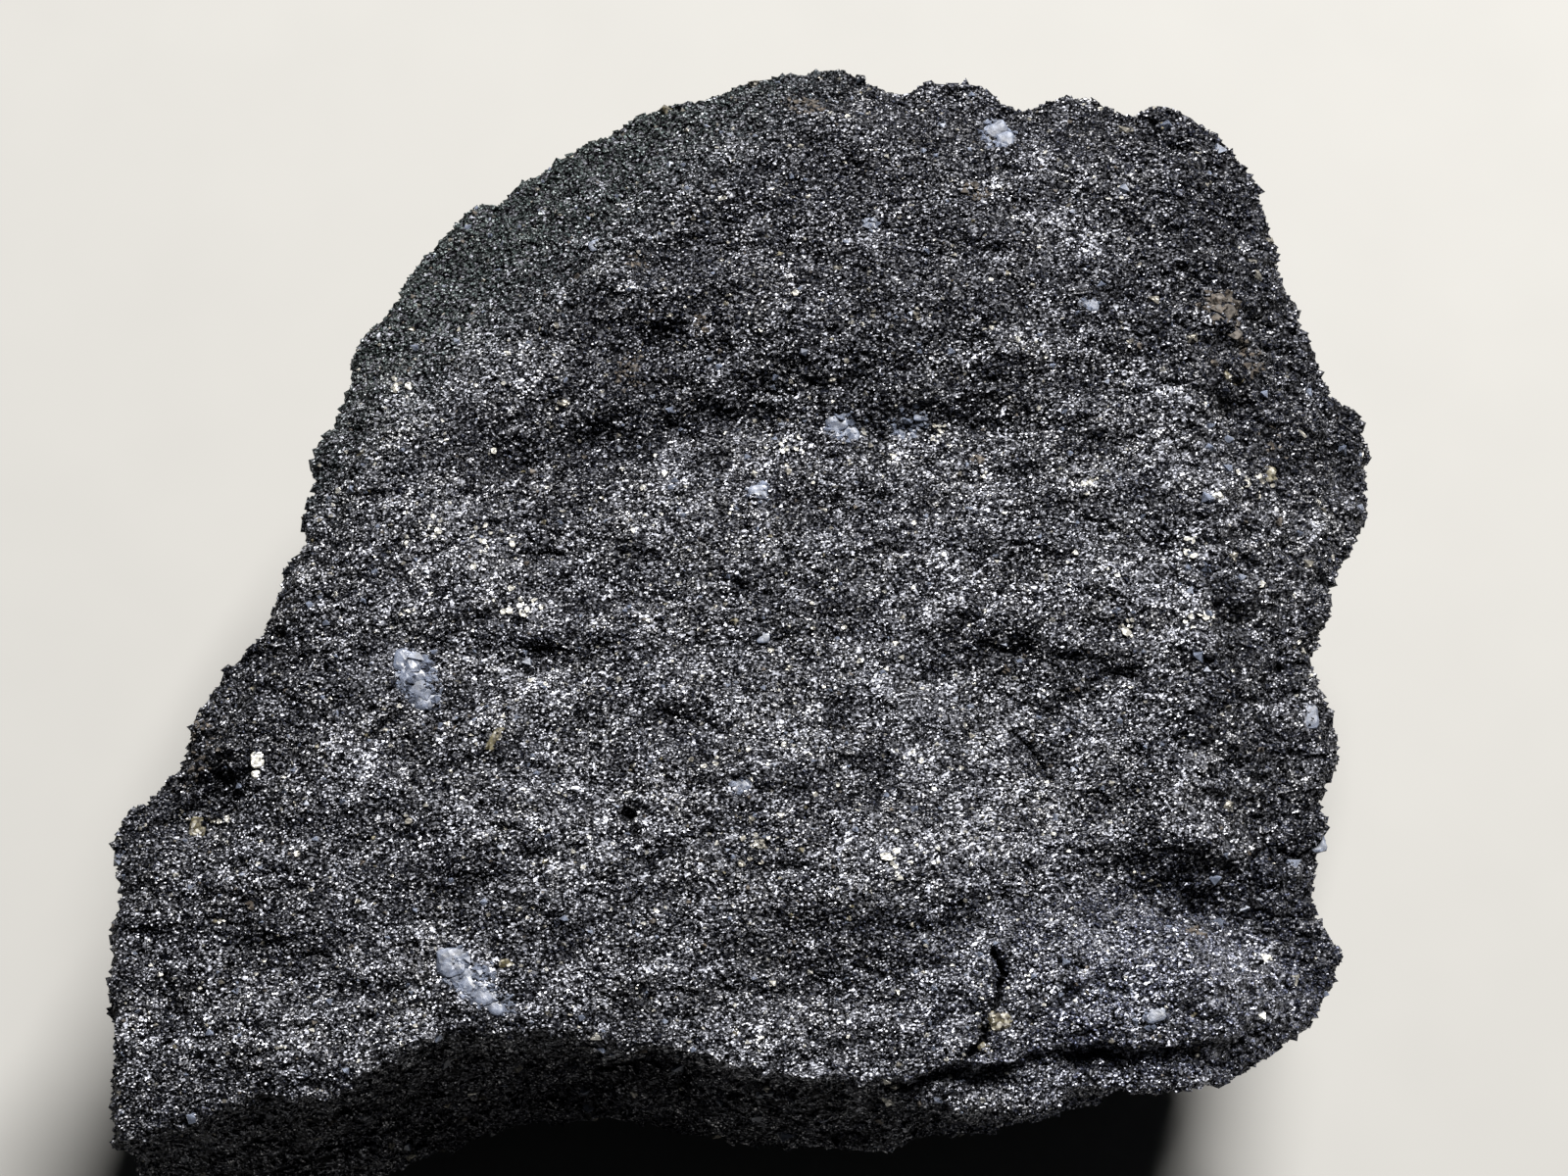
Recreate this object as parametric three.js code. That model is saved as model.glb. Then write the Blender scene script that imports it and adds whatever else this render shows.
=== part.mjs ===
// A hand specimen of massive magnetite ore: one broken block of fine-grained, dark grey, glittering rock.
// The block lies on its back with its broad fresh face up. Sizes are in millimetres and +Z is up.
// +X runs along the block's long side, and +Y runs across the face from its near edge to its far one.
// While the block is shaped, X and Y are counted from the middle of the face and Z from the underside.
// At the end the block is moved, so that its origin is the middle of its footprint.

import * as THREE from 'three';
import { ImprovedNoise } from 'three/addons/math/ImprovedNoise.js';
import { mergeVertices } from 'three/addons/utils/BufferGeometryUtils.js';

const mm = (x, y, z) => new THREE.Vector3(x, y, z);
const { lerp, smoothstep } = THREE.MathUtils;

// Cells in which the surface is worked out, along X, along Y and up the walls
const cellsAcross = 40;
const cellsAlong = 36;
const cellsUp = 12;

// Height of the broad face, and the number of cells over which it rounds down to its rim
const faceHeight = 40;
const cellsToRim = 3.5;

// Corners of the broad face, and of the underside below them
const rimNearLeft = mm(-52.6, -42.5, 37.5);
const rimNearRight = mm(43.8, -32.4, 37);
const rimFarRight = mm(41, 39.8, 35);
const rimFarLeft = mm(-30.6, 32.4, 33.5);
const footNearLeft = mm(-50, -42, 3);
const footNearRight = mm(37.5, -25, 5);
const footFarRight = mm(33, 33, 5);
const footFarLeft = mm(-23, 26, 5);

// The rim of the broad face, one side after another, from corner to corner
const rim = {
  near: [
    rimNearLeft, mm(-44, -40.8, 39), mm(-34.5, -39.4, 39), mm(-29.5, -35.9, 39.5), mm(-22, -34.8, 39.5),
    mm(-9, -35.8, 39.5), mm(-1, -38.2, 39), mm(4.5, -39.4, 39), mm(15, -37.6, 39), mm(24, -35, 39),
    mm(33, -34.6, 38.5), rimNearRight,
  ],
  right: [
    rimNearRight, mm(46.4, -27, 35), mm(44.2, -21, 34), mm(44.8, -13, 34), mm(46, -8.5, 34),
    mm(44.4, -2, 33), mm(45.6, 4.5, 33), mm(48.6, 12, 32.5), mm(48.8, 19, 32), mm(45.4, 24.5, 33),
    mm(42.8, 31, 34), rimFarRight,
  ],
  far: [
    rimFarLeft, mm(-21.6, 39, 34.5), mm(-14, 44, 36), mm(-5, 46.6, 37), mm(0, 47.8, 37), mm(9, 47.8, 37),
    mm(16, 47, 37), mm(21, 45.8, 37), mm(28.6, 45.8, 36.5), mm(35, 43.8, 36), rimFarRight,
  ],
  left: [
    rimNearLeft, mm(-53.2, -33, 36.5), mm(-53.4, -24, 36), mm(-53.4, -18.6, 34.5), mm(-51.6, -14.4, 33.5),
    mm(-48, -10.4, 33.5), mm(-45.2, -6, 34), mm(-43.2, -1.8, 35.5), mm(-40, 3.2, 36.5),
    mm(-38, 8.4, 36.5), mm(-36.6, 15, 36), mm(-34.6, 22.2, 35), rimFarLeft,
  ],
};

// The outline of the underside, side by side in the same order
const foot = {
  near: [
    footNearLeft, mm(-41, -42.5, 3), mm(-33, -39, 4), mm(-26, -35, 5), mm(-12, -33.6, 5),
    mm(6, -34.4, 5), mm(20, -33, 5), mm(31, -28.6, 5), footNearRight,
  ],
  right: [footNearRight, mm(39.5, -10, 5), mm(38, 4, 6), mm(40, 15, 6), footFarRight],
  far: [footFarLeft, mm(-12, 35, 6), mm(2, 39.5, 5), mm(16, 40, 5), mm(27, 37.5, 5), footFarRight],
  left: [footNearLeft, mm(-50.5, -26, 4), mm(-47.5, -14, 5), mm(-38, -2, 5), mm(-31, 14, 5), footFarLeft],
};

// Flat fracture faces: a point on each and the way it faces. What stands beyond one is broken off.
const fractures = [
  // The facet that slopes away at the upper left of the face
  { on: mm(-20, 26, 39.4), facing: mm(-0.27, 0.27, 0.92) },
  { on: mm(-33, 6, 40.2), facing: mm(-0.34, 0.06, 0.94) },
  // The rough slope along the right edge of the face, and the far edge
  { on: mm(37, 30, 39), facing: mm(0.62, 0.2, 0.76) },
  { on: mm(38, 14, 39), facing: mm(0.6, -0.05, 0.8) },
  { on: mm(39.5, -8, 38.6), facing: mm(0.68, 0.03, 0.73) },
  { on: mm(0, 44, 38.4), facing: mm(-0.05, 0.5, 0.87) },
  // The walls, round the block from the right
  { on: mm(44, 12, 14), facing: mm(0.88, 0.1, -0.46) },
  { on: mm(44.5, -14, 18), facing: mm(0.95, -0.08, -0.3) },
  { on: mm(34, -31.5, 14), facing: mm(0.5, -0.78, -0.36) },
  { on: mm(37, 40, 18), facing: mm(0.72, 0.68, -0.15) },
  { on: mm(16, 44.5, 16), facing: mm(0.12, 0.95, -0.28) },
  { on: mm(-10, 41, 18), facing: mm(-0.38, 0.9, -0.2) },
  { on: mm(-28, 26, 16), facing: mm(-0.8, 0.52, -0.3) },
  { on: mm(-52.4, -28, 14), facing: mm(-0.96, 0.02, -0.26) },
  { on: mm(-47, -41.5, 12), facing: mm(-0.5, -0.82, -0.28) },
  { on: mm(4, -37, 10), facing: mm(0.05, -0.86, -0.5) },
  { on: mm(40, 0, 4), facing: mm(0.62, 0.05, -0.78) },
  { on: mm(-4, 37, 4), facing: mm(-0.1, 0.6, -0.79) },
];

// Lumps, which stand out, and hollows, which go in: the middle of each, how far it reaches along X, Y and Z,
// and how far it moves the surface
const lumps = [
  // The ledge low on the near wall, and the shadowed recess over it
  { at: mm(18, -37, 20), reach: mm(19, 10, 9), push: 3.3 },
  { at: mm(8, -39, 31), reach: mm(28, 8, 6), push: -2.6 },
  { at: mm(-14, -37, 28), reach: mm(16, 8, 10), push: -2.4 },
  // The foot at the lower left
  { at: mm(-42, -43, 12), reach: mm(13, 10, 16), push: 2.4 },
  // The nose at the near right corner of the face, and the hollow behind it
  { at: mm(32, -31.5, 39), reach: mm(17, 7, 9), push: 1.7 },
  { at: mm(34, -23.5, 38), reach: mm(11, 4, 8), push: -1.3 },
  // Pits along the groove at the foot of the rough right slope
  { at: mm(34.5, 29, 37), reach: mm(4, 5, 6), push: -2.4 },
  { at: mm(37, 17, 37), reach: mm(4, 5.5, 6), push: -2.2 },
  // Broad swells and sags of the face
  { at: mm(-10, -18, 40), reach: mm(30, 22, 9), push: 0.9 },
  { at: mm(8, -22, 40), reach: mm(14, 9, 9), push: 0.9 },
  { at: mm(10, 26, 40), reach: mm(26, 12, 9), push: 1.1 },
  { at: mm(-24, -6, 40), reach: mm(14, 10, 9), push: -0.8 },
  { at: mm(26, 6, 40), reach: mm(13, 12, 9), push: 0.7 },
  // The rough strip on the left, below the edge of the face, and the gap behind it
  { at: mm(-49.5, -14, 36), reach: mm(6, 6, 8), push: -1.2 },
  { at: mm(-46, -15.5, 37), reach: mm(4, 4.5, 7), push: -2 },
  // Scooped and bulging places on the walls
  { at: mm(6, 42, 20), reach: mm(17, 12, 11), push: 3 },
  { at: mm(-22, 34, 25), reach: mm(12, 11, 10), push: -2.6 },
  { at: mm(30, 40, 27), reach: mm(9, 10, 9), push: -2.2 },
  { at: mm(45, 4, 24), reach: mm(9, 11, 9), push: -2.6 },
  { at: mm(44, -18, 18), reach: mm(10, 10, 9), push: 2 },
  { at: mm(-53, -27, 24), reach: mm(9, 13, 10), push: -2.6 },
  { at: mm(-41, 0, 18), reach: mm(9, 13, 11), push: -2 },
  { at: mm(-48, -12, 19), reach: mm(9, 9, 10), push: 1.4 },
];

// Steps on the face: X and Y of points along each, left to right, below which the surface drops towards the
// near side. The drop comes over its width and is made up again over its runout.
const steps = [
  { line: [[-26, 15], [-14, 18.5], [-4, 21.5], [6, 20.5], [23, 19.5]], drop: 1.9, width: 4, runout: 9 },
  { line: [[-18, 23], [-9, 25], [2, 24.5]], drop: 0.9, width: 2.5, runout: 5 },
  { line: [[8, -1.8], [19, -3.6], [24, -4.6], [32, -2.4]], drop: 1.6, width: 2.2, runout: 6 },
  { line: [[21, -19.6], [28, -20.6], [33, -22.2], [45, -23]], drop: 1.9, width: 2, runout: 5 },
  { line: [[-7, -25.6], [4, -27], [15, -26]], drop: 0.6, width: 3, runout: 6 },
];
const stepEndFade = 6;
const stepRaggedness = 0.8;
const stepRagWave = 3;

// Relief of the broken rock: the wavelength of each kind and its height. On the face it is drawn out along X.
const faceWave = mm(12, 7, 8);
const faceRelief = 0.45;
const wallWave = mm(9, 9, 8);
const wallRelief = 1.2;
const fineWave = 3.4;
const fineRelief = 0.4;
const broadWave = 21;
const broadRelief = 2.4;
const broadFrom = 24;
const broadTo = 38;

// How far a point of the surface is shifted at random, and how fast that changes from place to place
const shiftLength = 0.8;
const shiftWave = 3.7;

// The underside: its swells, the height up to which they reach into the walls, and where the block rests
const baseWave = mm(19, 16, 1);
const baseRelief = 3.2;
const baseLift = 0.9;
const baseFades = { from: 2, to: 12 };
const restingPlaces = [
  { at: mm(-37, -27, 0), reach: 15 },
  { at: mm(23, -17, 0), reach: 16 },
  { at: mm(3, 24, 0), reach: 16 },
];
const restingDepth = 4.5;

// Colour and finish of the ore
const oreColour = '#54555c';
const oreRoughness = 0.42;
const oreMetalness = 0.7;

const perlin = new ImprovedNoise();

// Smooth noise, about -0.7 to 0.7, with a wavelength given for all directions or for each.
function noiseAt(point, wave, offset = 0) {
  const p = typeof wave === 'number' ? point.clone().divideScalar(wave) : point.clone().divide(wave);
  return perlin.noise(p.x + offset, p.y, p.z);
}

// Noise with its sharp side out, as broken rock has: a folded layer and a finer plain one, about -1 to 1.
function hackly(point, wave) {
  const folded = 1 - 3 * Math.abs(noiseAt(point, wave));
  const finer = noiseAt(point, wave.clone().divideScalar(1.8), 9);
  return 0.7 * folded + 0.6 * finer;
}

// A smooth hump: one in its middle, and nothing at its reach and beyond.
function hump(squaredDistance) {
  return Math.max(0, 1 - squaredDistance) ** 2;
}

// Evenly spaced points along each side of an outline, on a smooth curve through its corners and points.
function spacedSides(outline) {
  const spaced = (points, count) =>
    new THREE.CatmullRomCurve3(points, false, 'centripetal').getSpacedPoints(count);
  return {
    near: spaced(outline.near, cellsAcross),
    far: spaced(outline.far, cellsAcross),
    left: spaced(outline.left, cellsAlong),
    right: spaced(outline.right, cellsAlong),
  };
}

// A point of the surface spanned by four sides: the sum of the two ruled surfaces between opposite sides,
// less the flat one between the corners. Away from its sides it lies at one height.
function spannedPoint(sides, across, along, middleHeight) {
  const s = across / cellsAcross;
  const t = along / cellsAlong;
  const nearToFar = sides.near[across].clone().lerp(sides.far[across], t);
  const leftToRight = sides.left[along].clone().lerp(sides.right[along], s);
  const nearCorners = sides.near[0].clone().lerp(sides.near[cellsAcross], s);
  const farCorners = sides.far[0].clone().lerp(sides.far[cellsAcross], s);
  const point = nearToFar.add(leftToRight).sub(nearCorners.lerp(farCorners, t));
  const inward = Math.min(across, cellsAcross - across, along, cellsAlong - along) / cellsToRim;
  point.z = lerp(point.z, middleHeight, smoothstep(inward, 0, 1));
  return point;
}

// The plain block: a box's grid with its top stretched over the rim, its bottom over the foot, and its walls
// straight between them.
function plainBlock() {
  const box = new THREE.BoxGeometry(2, 2, 2, cellsAcross, cellsAlong, cellsUp);
  box.deleteAttribute('normal');
  box.deleteAttribute('uv');
  const block = mergeVertices(box);
  const rimSides = spacedSides(rim);
  const footSides = spacedSides(foot);
  moveEach(block, (point) => {
    const across = Math.round((point.x + 1) / 2 * cellsAcross);
    const along = Math.round((point.y + 1) / 2 * cellsAlong);
    const up = (point.z + 1) / 2;
    const top = spannedPoint(rimSides, across, along, faceHeight);
    const bottom = spannedPoint(footSides, across, along, 0);
    point.lerpVectors(bottom, top, up);
  });
  return block;
}

// Moves every point of a block by a function that changes the point it is given.
function moveEach(block, move) {
  const position = block.getAttribute('position');
  const point = new THREE.Vector3();
  for (let i = 0; i < position.count; i++) {
    point.fromBufferAttribute(position, i);
    move(point, i);
    position.setXYZ(i, ...point);
  }
}

// Moves every point of a block along its outward normal, by a height worked out from its place and normal.
function pushOut(block, heightOf) {
  block.computeVertexNormals();
  const normals = block.getAttribute('normal');
  const normal = new THREE.Vector3();
  moveEach(block, (point, i) => {
    normal.fromBufferAttribute(normals, i);
    point.addScaledVector(normal, heightOf(point, normal));
  });
}

// The broad swells of the walls, which die away towards the rim of the face.
function broadSwell(point, normal) {
  const onWall = 1 - smoothstep(Math.abs(normal.z), 0.5, 0.9);
  const belowRim = 1 - smoothstep(point.z, broadFrom, broadTo);
  return onWall * belowRim * broadRelief * noiseAt(point, broadWave, 5);
}

// Shifts a point a little at random, so that the chips of the rock don't lie in rows.
function shift(point) {
  const aside = mm(
    noiseAt(point, shiftWave),
    noiseAt(point, shiftWave, 3),
    noiseAt(point, shiftWave, 7),
  );
  point.addScaledVector(aside, shiftLength);
}

// Brings a point that stands beyond a fracture back to it.
function breakOff(point) {
  for (const { on, facing } of fractures) {
    const outward = facing.clone().normalize();
    const beyond = point.clone().sub(on).dot(outward);
    point.addScaledVector(outward, -Math.max(0, beyond));
  }
}

// How far the lumps and hollows move the surface at a point.
function lumpPush(point) {
  let height = 0;
  for (const { at, reach, push } of lumps) {
    const away = point.clone().sub(at).divide(reach);
    height += push * hump(away.lengthSq());
  }
  return height;
}

// Y of the line of a step at x, straight between its points.
function lineAt(line, x) {
  const next = line.findIndex(([end], k) => k > 0 && (end > x || k === line.length - 1));
  const [x0, y0] = line[next - 1];
  const [x1, y1] = line[next];
  return lerp(y0, y1, (x - x0) / (x1 - x0));
}

// How far the steps lower the face at a point. Only what faces up has them.
function stepPush(point, normal) {
  let depth = 0;
  for (const { line, drop, width, runout } of steps) {
    const fromEnds = Math.min(point.x - line[0][0], line[line.length - 1][0] - point.x);
    const ragged = stepRaggedness * noiseAt(point, stepRagWave, drop);
    const below = lineAt(line, point.x) + ragged - point.y;
    const recovered = Math.exp(-Math.max(0, below - width) / runout);
    depth += drop * smoothstep(fromEnds, 0, stepEndFade) * smoothstep(below, 0, width) * recovered;
  }
  return -depth * smoothstep(normal.z, 0.4, 0.8);
}

// The hackly relief: low on the face and higher on the walls and the underside.
function reliefPush(point, normal) {
  const onFace = smoothstep(normal.z, 0.55, 0.9);
  const relief = lerp(wallRelief * hackly(point, wallWave), faceRelief * hackly(point, faceWave), onFace);
  return relief + fineRelief * noiseAt(point, fineWave);
}

// Lets the underside swell and sag, and flattens it where the block rests.
function settle(point) {
  const footprint = mm(point.x, point.y, 0);
  let lift = baseLift + baseRelief * noiseAt(footprint, baseWave, 3.3);
  for (const { at, reach } of restingPlaces) {
    lift -= restingDepth * hump((footprint.distanceTo(at) / reach) ** 2);
  }
  const low = 1 - smoothstep(point.z, baseFades.from, baseFades.to);
  point.z = Math.max(0, point.z + lift * low);
}

// Moves the block so that the middle of its footprint is the origin.
function centre(block) {
  block.computeBoundingBox();
  const middle = block.boundingBox.getCenter(new THREE.Vector3());
  block.translate(-middle.x, -middle.y, -block.boundingBox.min.z);
}

function magnetiteBlock() {
  const block = plainBlock();
  pushOut(block, broadSwell);
  moveEach(block, shift);
  moveEach(block, breakOff);
  pushOut(block, lumpPush);
  pushOut(block, stepPush);
  pushOut(block, reliefPush);
  moveEach(block, settle);
  centre(block);
  block.computeVertexNormals();
  const ore = new THREE.MeshStandardMaterial({
    color: oreColour,
    roughness: oreRoughness,
    metalness: oreMetalness,
    flatShading: true,
  });
  const mesh = new THREE.Mesh(block, ore);
  mesh.name = 'magnetite_block';
  return mesh;
}

const group = new THREE.Group();
group.add(magnetiteBlock());

export default group;
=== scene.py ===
"""A broken block of magnetite ore, dressed with its skin, its sugary grains, quartz, mica and iron stain."""

import math

import bpy
import numpy as np
from bpy.props import FloatProperty, FloatVectorProperty, IntProperty, PointerProperty
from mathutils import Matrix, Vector


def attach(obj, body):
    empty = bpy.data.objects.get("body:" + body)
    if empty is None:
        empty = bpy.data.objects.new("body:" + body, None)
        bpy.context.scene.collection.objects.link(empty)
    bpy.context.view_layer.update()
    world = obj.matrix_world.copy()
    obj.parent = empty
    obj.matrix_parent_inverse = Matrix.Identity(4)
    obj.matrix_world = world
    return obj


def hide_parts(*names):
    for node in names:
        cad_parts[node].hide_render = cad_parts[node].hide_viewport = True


bl_info = {
    "name": "Magnetite specimen",
    "version": (1, 0, 0),
    "blender": (4, 5, 0),
    "location": "3D View > Sidebar > Magnetite",
    "description": "Dresses a broken block of fine-grained magnetite ore with its skin, grains and flakes",
    "category": "Object",
}

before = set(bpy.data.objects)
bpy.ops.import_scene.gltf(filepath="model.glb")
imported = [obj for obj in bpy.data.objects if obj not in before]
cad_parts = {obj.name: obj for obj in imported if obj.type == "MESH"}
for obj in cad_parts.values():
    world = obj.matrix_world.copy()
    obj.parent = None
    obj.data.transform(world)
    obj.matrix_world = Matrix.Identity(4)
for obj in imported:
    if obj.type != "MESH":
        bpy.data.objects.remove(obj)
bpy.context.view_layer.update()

NODE = "magnetite_block"
MM = 0.001
MAP_NAME = "OFBake"

# The camera of the photograph: the point it looks at, how far off it is, how high it stands, and the width it
# sees at that point.
LOOKED_AT = (0.0033, 0.0, 0.040)
CAMERA_DISTANCE = 0.55
CAMERA_ELEVATION = math.radians(72)
SEEN_WIDTH = 0.128
SENSOR = 36.0

# The soft light behind the block and the place that it faces, the light from all round, and half the floor's
# side, all in metres.
KEY_PLACE = (0.26, 0.62, 0.88)
BLOCK_MIDDLE = (0.0, 0.0, 0.02)
KEY_COLOUR = (1.0, 0.985, 0.965)
ROOM_COLOUR = (0.86, 0.93, 1.0)
FLOOR_REACH = 2.5

# The minerals, in the order of their materials on every piece.
MAGNETITE, QUARTZ, MICA, STAIN, CALCSILICATE = range(5)

# The stray grains of other minerals: each one takes the grains whose random number is below its own, and the
# later ones win.
STRAYS = ((QUARTZ, 0.022), (MICA, 0.015), (STAIN, 0.004), (CALCSILICATE, 0.0015))

# Patches on the broad face where one mineral takes over: middle and half widths in mm, turn in degrees, the
# mineral, and the share of the grains that are of it.
PATCHES = [
    (-26.5, -7.7, 1.7, 2.8, 20, QUARTZ, 0.92),
    (-21.9, -33.0, 2.5, 1.8, -35, QUARTZ, 0.92),
    (-19.5, -34.6, 1.6, 1.0, -35, QUARTZ, 0.7),
    (8.1, 14.3, 1.5, 1.3, 0, QUARTZ, 0.85),
    (13.7, 14.7, 1.8, 1.2, 15, QUARTZ, 0.7),
    (-0.3, -17.2, 0.9, 0.6, 30, QUARTZ, 0.9),
    (10.5, 31.8, 0.7, 0.5, 0, QUARTZ, 0.9),
    (28.5, 24.4, 0.9, 0.7, -20, QUARTZ, 0.8),
    (21.3, 40.4, 1.5, 1.9, 20, QUARTZ, 0.7),
    (1.3, 8.4, 1.2, 0.9, 10, QUARTZ, 0.6),
    (32.0, -36.4, 1.2, 0.7, 0, QUARTZ, 0.5),
    (39.4, 24.8, 1.7, 2.0, 10, STAIN, 0.75),
    (41.5, 21.0, 1.6, 1.3, -30, STAIN, 0.5),
    (43.6, 14.0, 1.4, 1.8, 0, STAIN, 0.4),
    (-9.5, 19.3, 1.1, 1.9, -10, STAIN, 0.55),
    (-3.5, 22.7, 0.9, 1.3, -15, STAIN, 0.6),
    (-8.7, 28.6, 1.1, 0.8, 0, STAIN, 0.5),
    (4.9, 42.9, 1.9, 1.2, -20, STAIN, 0.6),
    (19.3, 34.5, 1.6, 0.7, -10, STAIN, 0.5),
    (36.5, -28.6, 0.8, 0.6, 0, STAIN, 0.8),
    (-45.0, -12.5, 2.4, 3.6, -35, STAIN, 0.35),
    (19.3, 11.4, 0.5, 0.4, 0, STAIN, 0.9),
    (32.7, 20.8, 0.35, 0.35, 0, STAIN, 0.9),
    (21.3, -6.7, 0.35, 0.3, 0, STAIN, 0.9),
    (40.5, 18.7, 0.7, 0.5, 0, CALCSILICATE, 0.8),
    (43.7, 10.9, 0.7, 0.6, 0, CALCSILICATE, 0.8),
    (20.5, -36.2, 0.95, 0.8, 0, CALCSILICATE, 0.95),
    (19.5, -38.4, 0.5, 0.7, 30, CALCSILICATE, 0.6),
    (-44.3, -18.3, 0.7, 0.9, -20, CALCSILICATE, 0.7),
    (-20.2, -13.0, 0.35, 1.2, -30, CALCSILICATE, 0.8),
]

# Groups of mica plates that catch the light: middle in mm, spread in mm, and half the number of plates.
FLAKE_GROUPS = [
    (-15.1, 16.2, 0.3, 3),
    (-28.7, 18.1, 0.3, 3),
    (-18.1, -1.3, 0.7, 6),
    (-25.5, 4.6, 0.5, 5),
    (-20.7, 4.2, 0.9, 7),
    (28.1, 8.4, 0.4, 4),
    (41.7, 9.7, 0.9, 6),
    (36.9, 3.4, 0.6, 4),
    (36.9, -2.9, 0.6, 5),
    (31.3, -3.4, 0.4, 3),
    (1.7, -22.3, 1.0, 7),
    (12.1, -23.5, 0.5, 4),
    (3.6, 12.3, 0.9, 5),
    (15.9, 13.6, 0.5, 4),
    (-42.4, -18.6, 0.6, 5),
]

# Glassy lumps and single blocks that stand a little out of the grains: middle and half widths in mm, turn in
# degrees, the mineral, and how boxy the lump is (0 round, 1 nearly a block).
LUMPS = [
    (-27.4, -6.2, 1.15, 1.0, -20, QUARTZ, 0.2),
    (-26.9, -7.3, 1.25, 1.0, -40, QUARTZ, 0.2),
    (-26.3, -8.4, 1.25, 0.95, -30, QUARTZ, 0.2),
    (-25.9, -9.5, 1.2, 0.8, -10, QUARTZ, 0.2),
    (-23.3, -31.7, 1.3, 1.25, 0, QUARTZ, 0.3),
    (-22.3, -33.0, 1.3, 0.95, -30, QUARTZ, 0.3),
    (-21.1, -33.9, 1.7, 0.9, -40, QUARTZ, 0.3),
    (-20.1, -35.0, 1.25, 0.7, -35, QUARTZ, 0.3),
    (-18.9, -31.7, 0.6, 0.35, 10, CALCSILICATE, 0.6),
    (7.6, 14.6, 0.9, 0.75, 20, QUARTZ, 0.2),
    (8.7, 13.8, 0.8, 0.6, -20, QUARTZ, 0.3),
    (13.2, 14.4, 1.0, 0.6, 20, QUARTZ, 0.3),
    (14.6, 15.2, 0.7, 0.5, 0, QUARTZ, 0.3),
    (-0.3, -17.2, 0.75, 0.5, 30, QUARTZ, 0.5),
    (10.5, 31.8, 0.6, 0.4, 0, QUARTZ, 0.5),
    (28.5, 24.4, 0.8, 0.55, -20, QUARTZ, 0.4),
    (21.0, 40.9, 1.1, 0.8, 30, QUARTZ, 0.3),
    (21.8, 39.6, 0.8, 0.9, 0, QUARTZ, 0.3),
    (1.3, 8.4, 0.8, 0.6, 10, QUARTZ, 0.3),
    (39.1, 25.2, 0.8, 0.7, 10, STAIN, 0.6),
    (39.9, 24.0, 0.6, 0.8, -40, STAIN, 0.6),
    (40.6, 22.6, 0.7, 0.5, -40, STAIN, 0.6),
    (-44.5, -18.7, 0.65, 0.85, -8, CALCSILICATE, 0.9),
    (-39.3, -14.1, 0.7, 0.65, 5, MICA, 0.9),
    (-39.5, -15.2, 0.4, 0.35, 30, MICA, 0.7),
    (20.6, -36.3, 0.8, 0.7, 15, CALCSILICATE, 0.5),
    (20.0, -35.7, 0.5, 0.5, 40, CALCSILICATE, 0.7),
    (19.3, -38.4, 0.4, 0.6, 30, CALCSILICATE, 0.5),
    (43.2, 11.2, 0.7, 0.5, -20, CALCSILICATE, 0.7),
    (-20.2, -13.0, 0.3, 1.0, -30, CALCSILICATE, 0.7),
    (1.6, -4.3, 0.5, 0.4, 0, QUARTZ, 0.5),
    (-12.4, 30.2, 0.6, 0.45, 20, QUARTZ, 0.5),
    (33.0, -36.0, 0.9, 0.6, 10, QUARTZ, 0.4),
    (46.4, -9.0, 0.8, 1.1, 0, QUARTZ, 0.5),
    (46.9, -19.5, 0.7, 0.9, 15, QUARTZ, 0.5),
]

# The crack at the near rim, the fissure above it and two short ones at the left: points, half width and
# depth, all in mm.
CRACKS = [
    ([(20.1, -30.7), (20.9, -32.4), (20.3, -34.5), (19.3, -37.4), (18.1, -39.1)], 0.27, 2.0),
    ([(21.7, -11.8), (23.4, -13.4), (24.9, -16.0)], 0.16, 0.8),
    ([(-18.3, 3.4), (-13.5, 3.5)], 0.18, 0.5),
    ([(-18.3, -5.0), (-14.3, -5.1)], 0.16, 0.4),
]

# The narrow ledge just below the near rim: place along X, height of the rim and how far the ledge stands out,
# all in mm.
LEDGE = np.array(
    [
        (10, 38.6, 0.0), (14, 38.6, 3.0), (18, 38.8, 4.4), (22, 38.9, 4.6), (27, 39.2, 4.4), (31, 39.9, 3.5),
        (35, 39.4, 3.0), (39, 37.4, 2.6), (43, 35.2, 1.1), (46, 34.0, 0.0),
    ]
)  # fmt: skip

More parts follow.
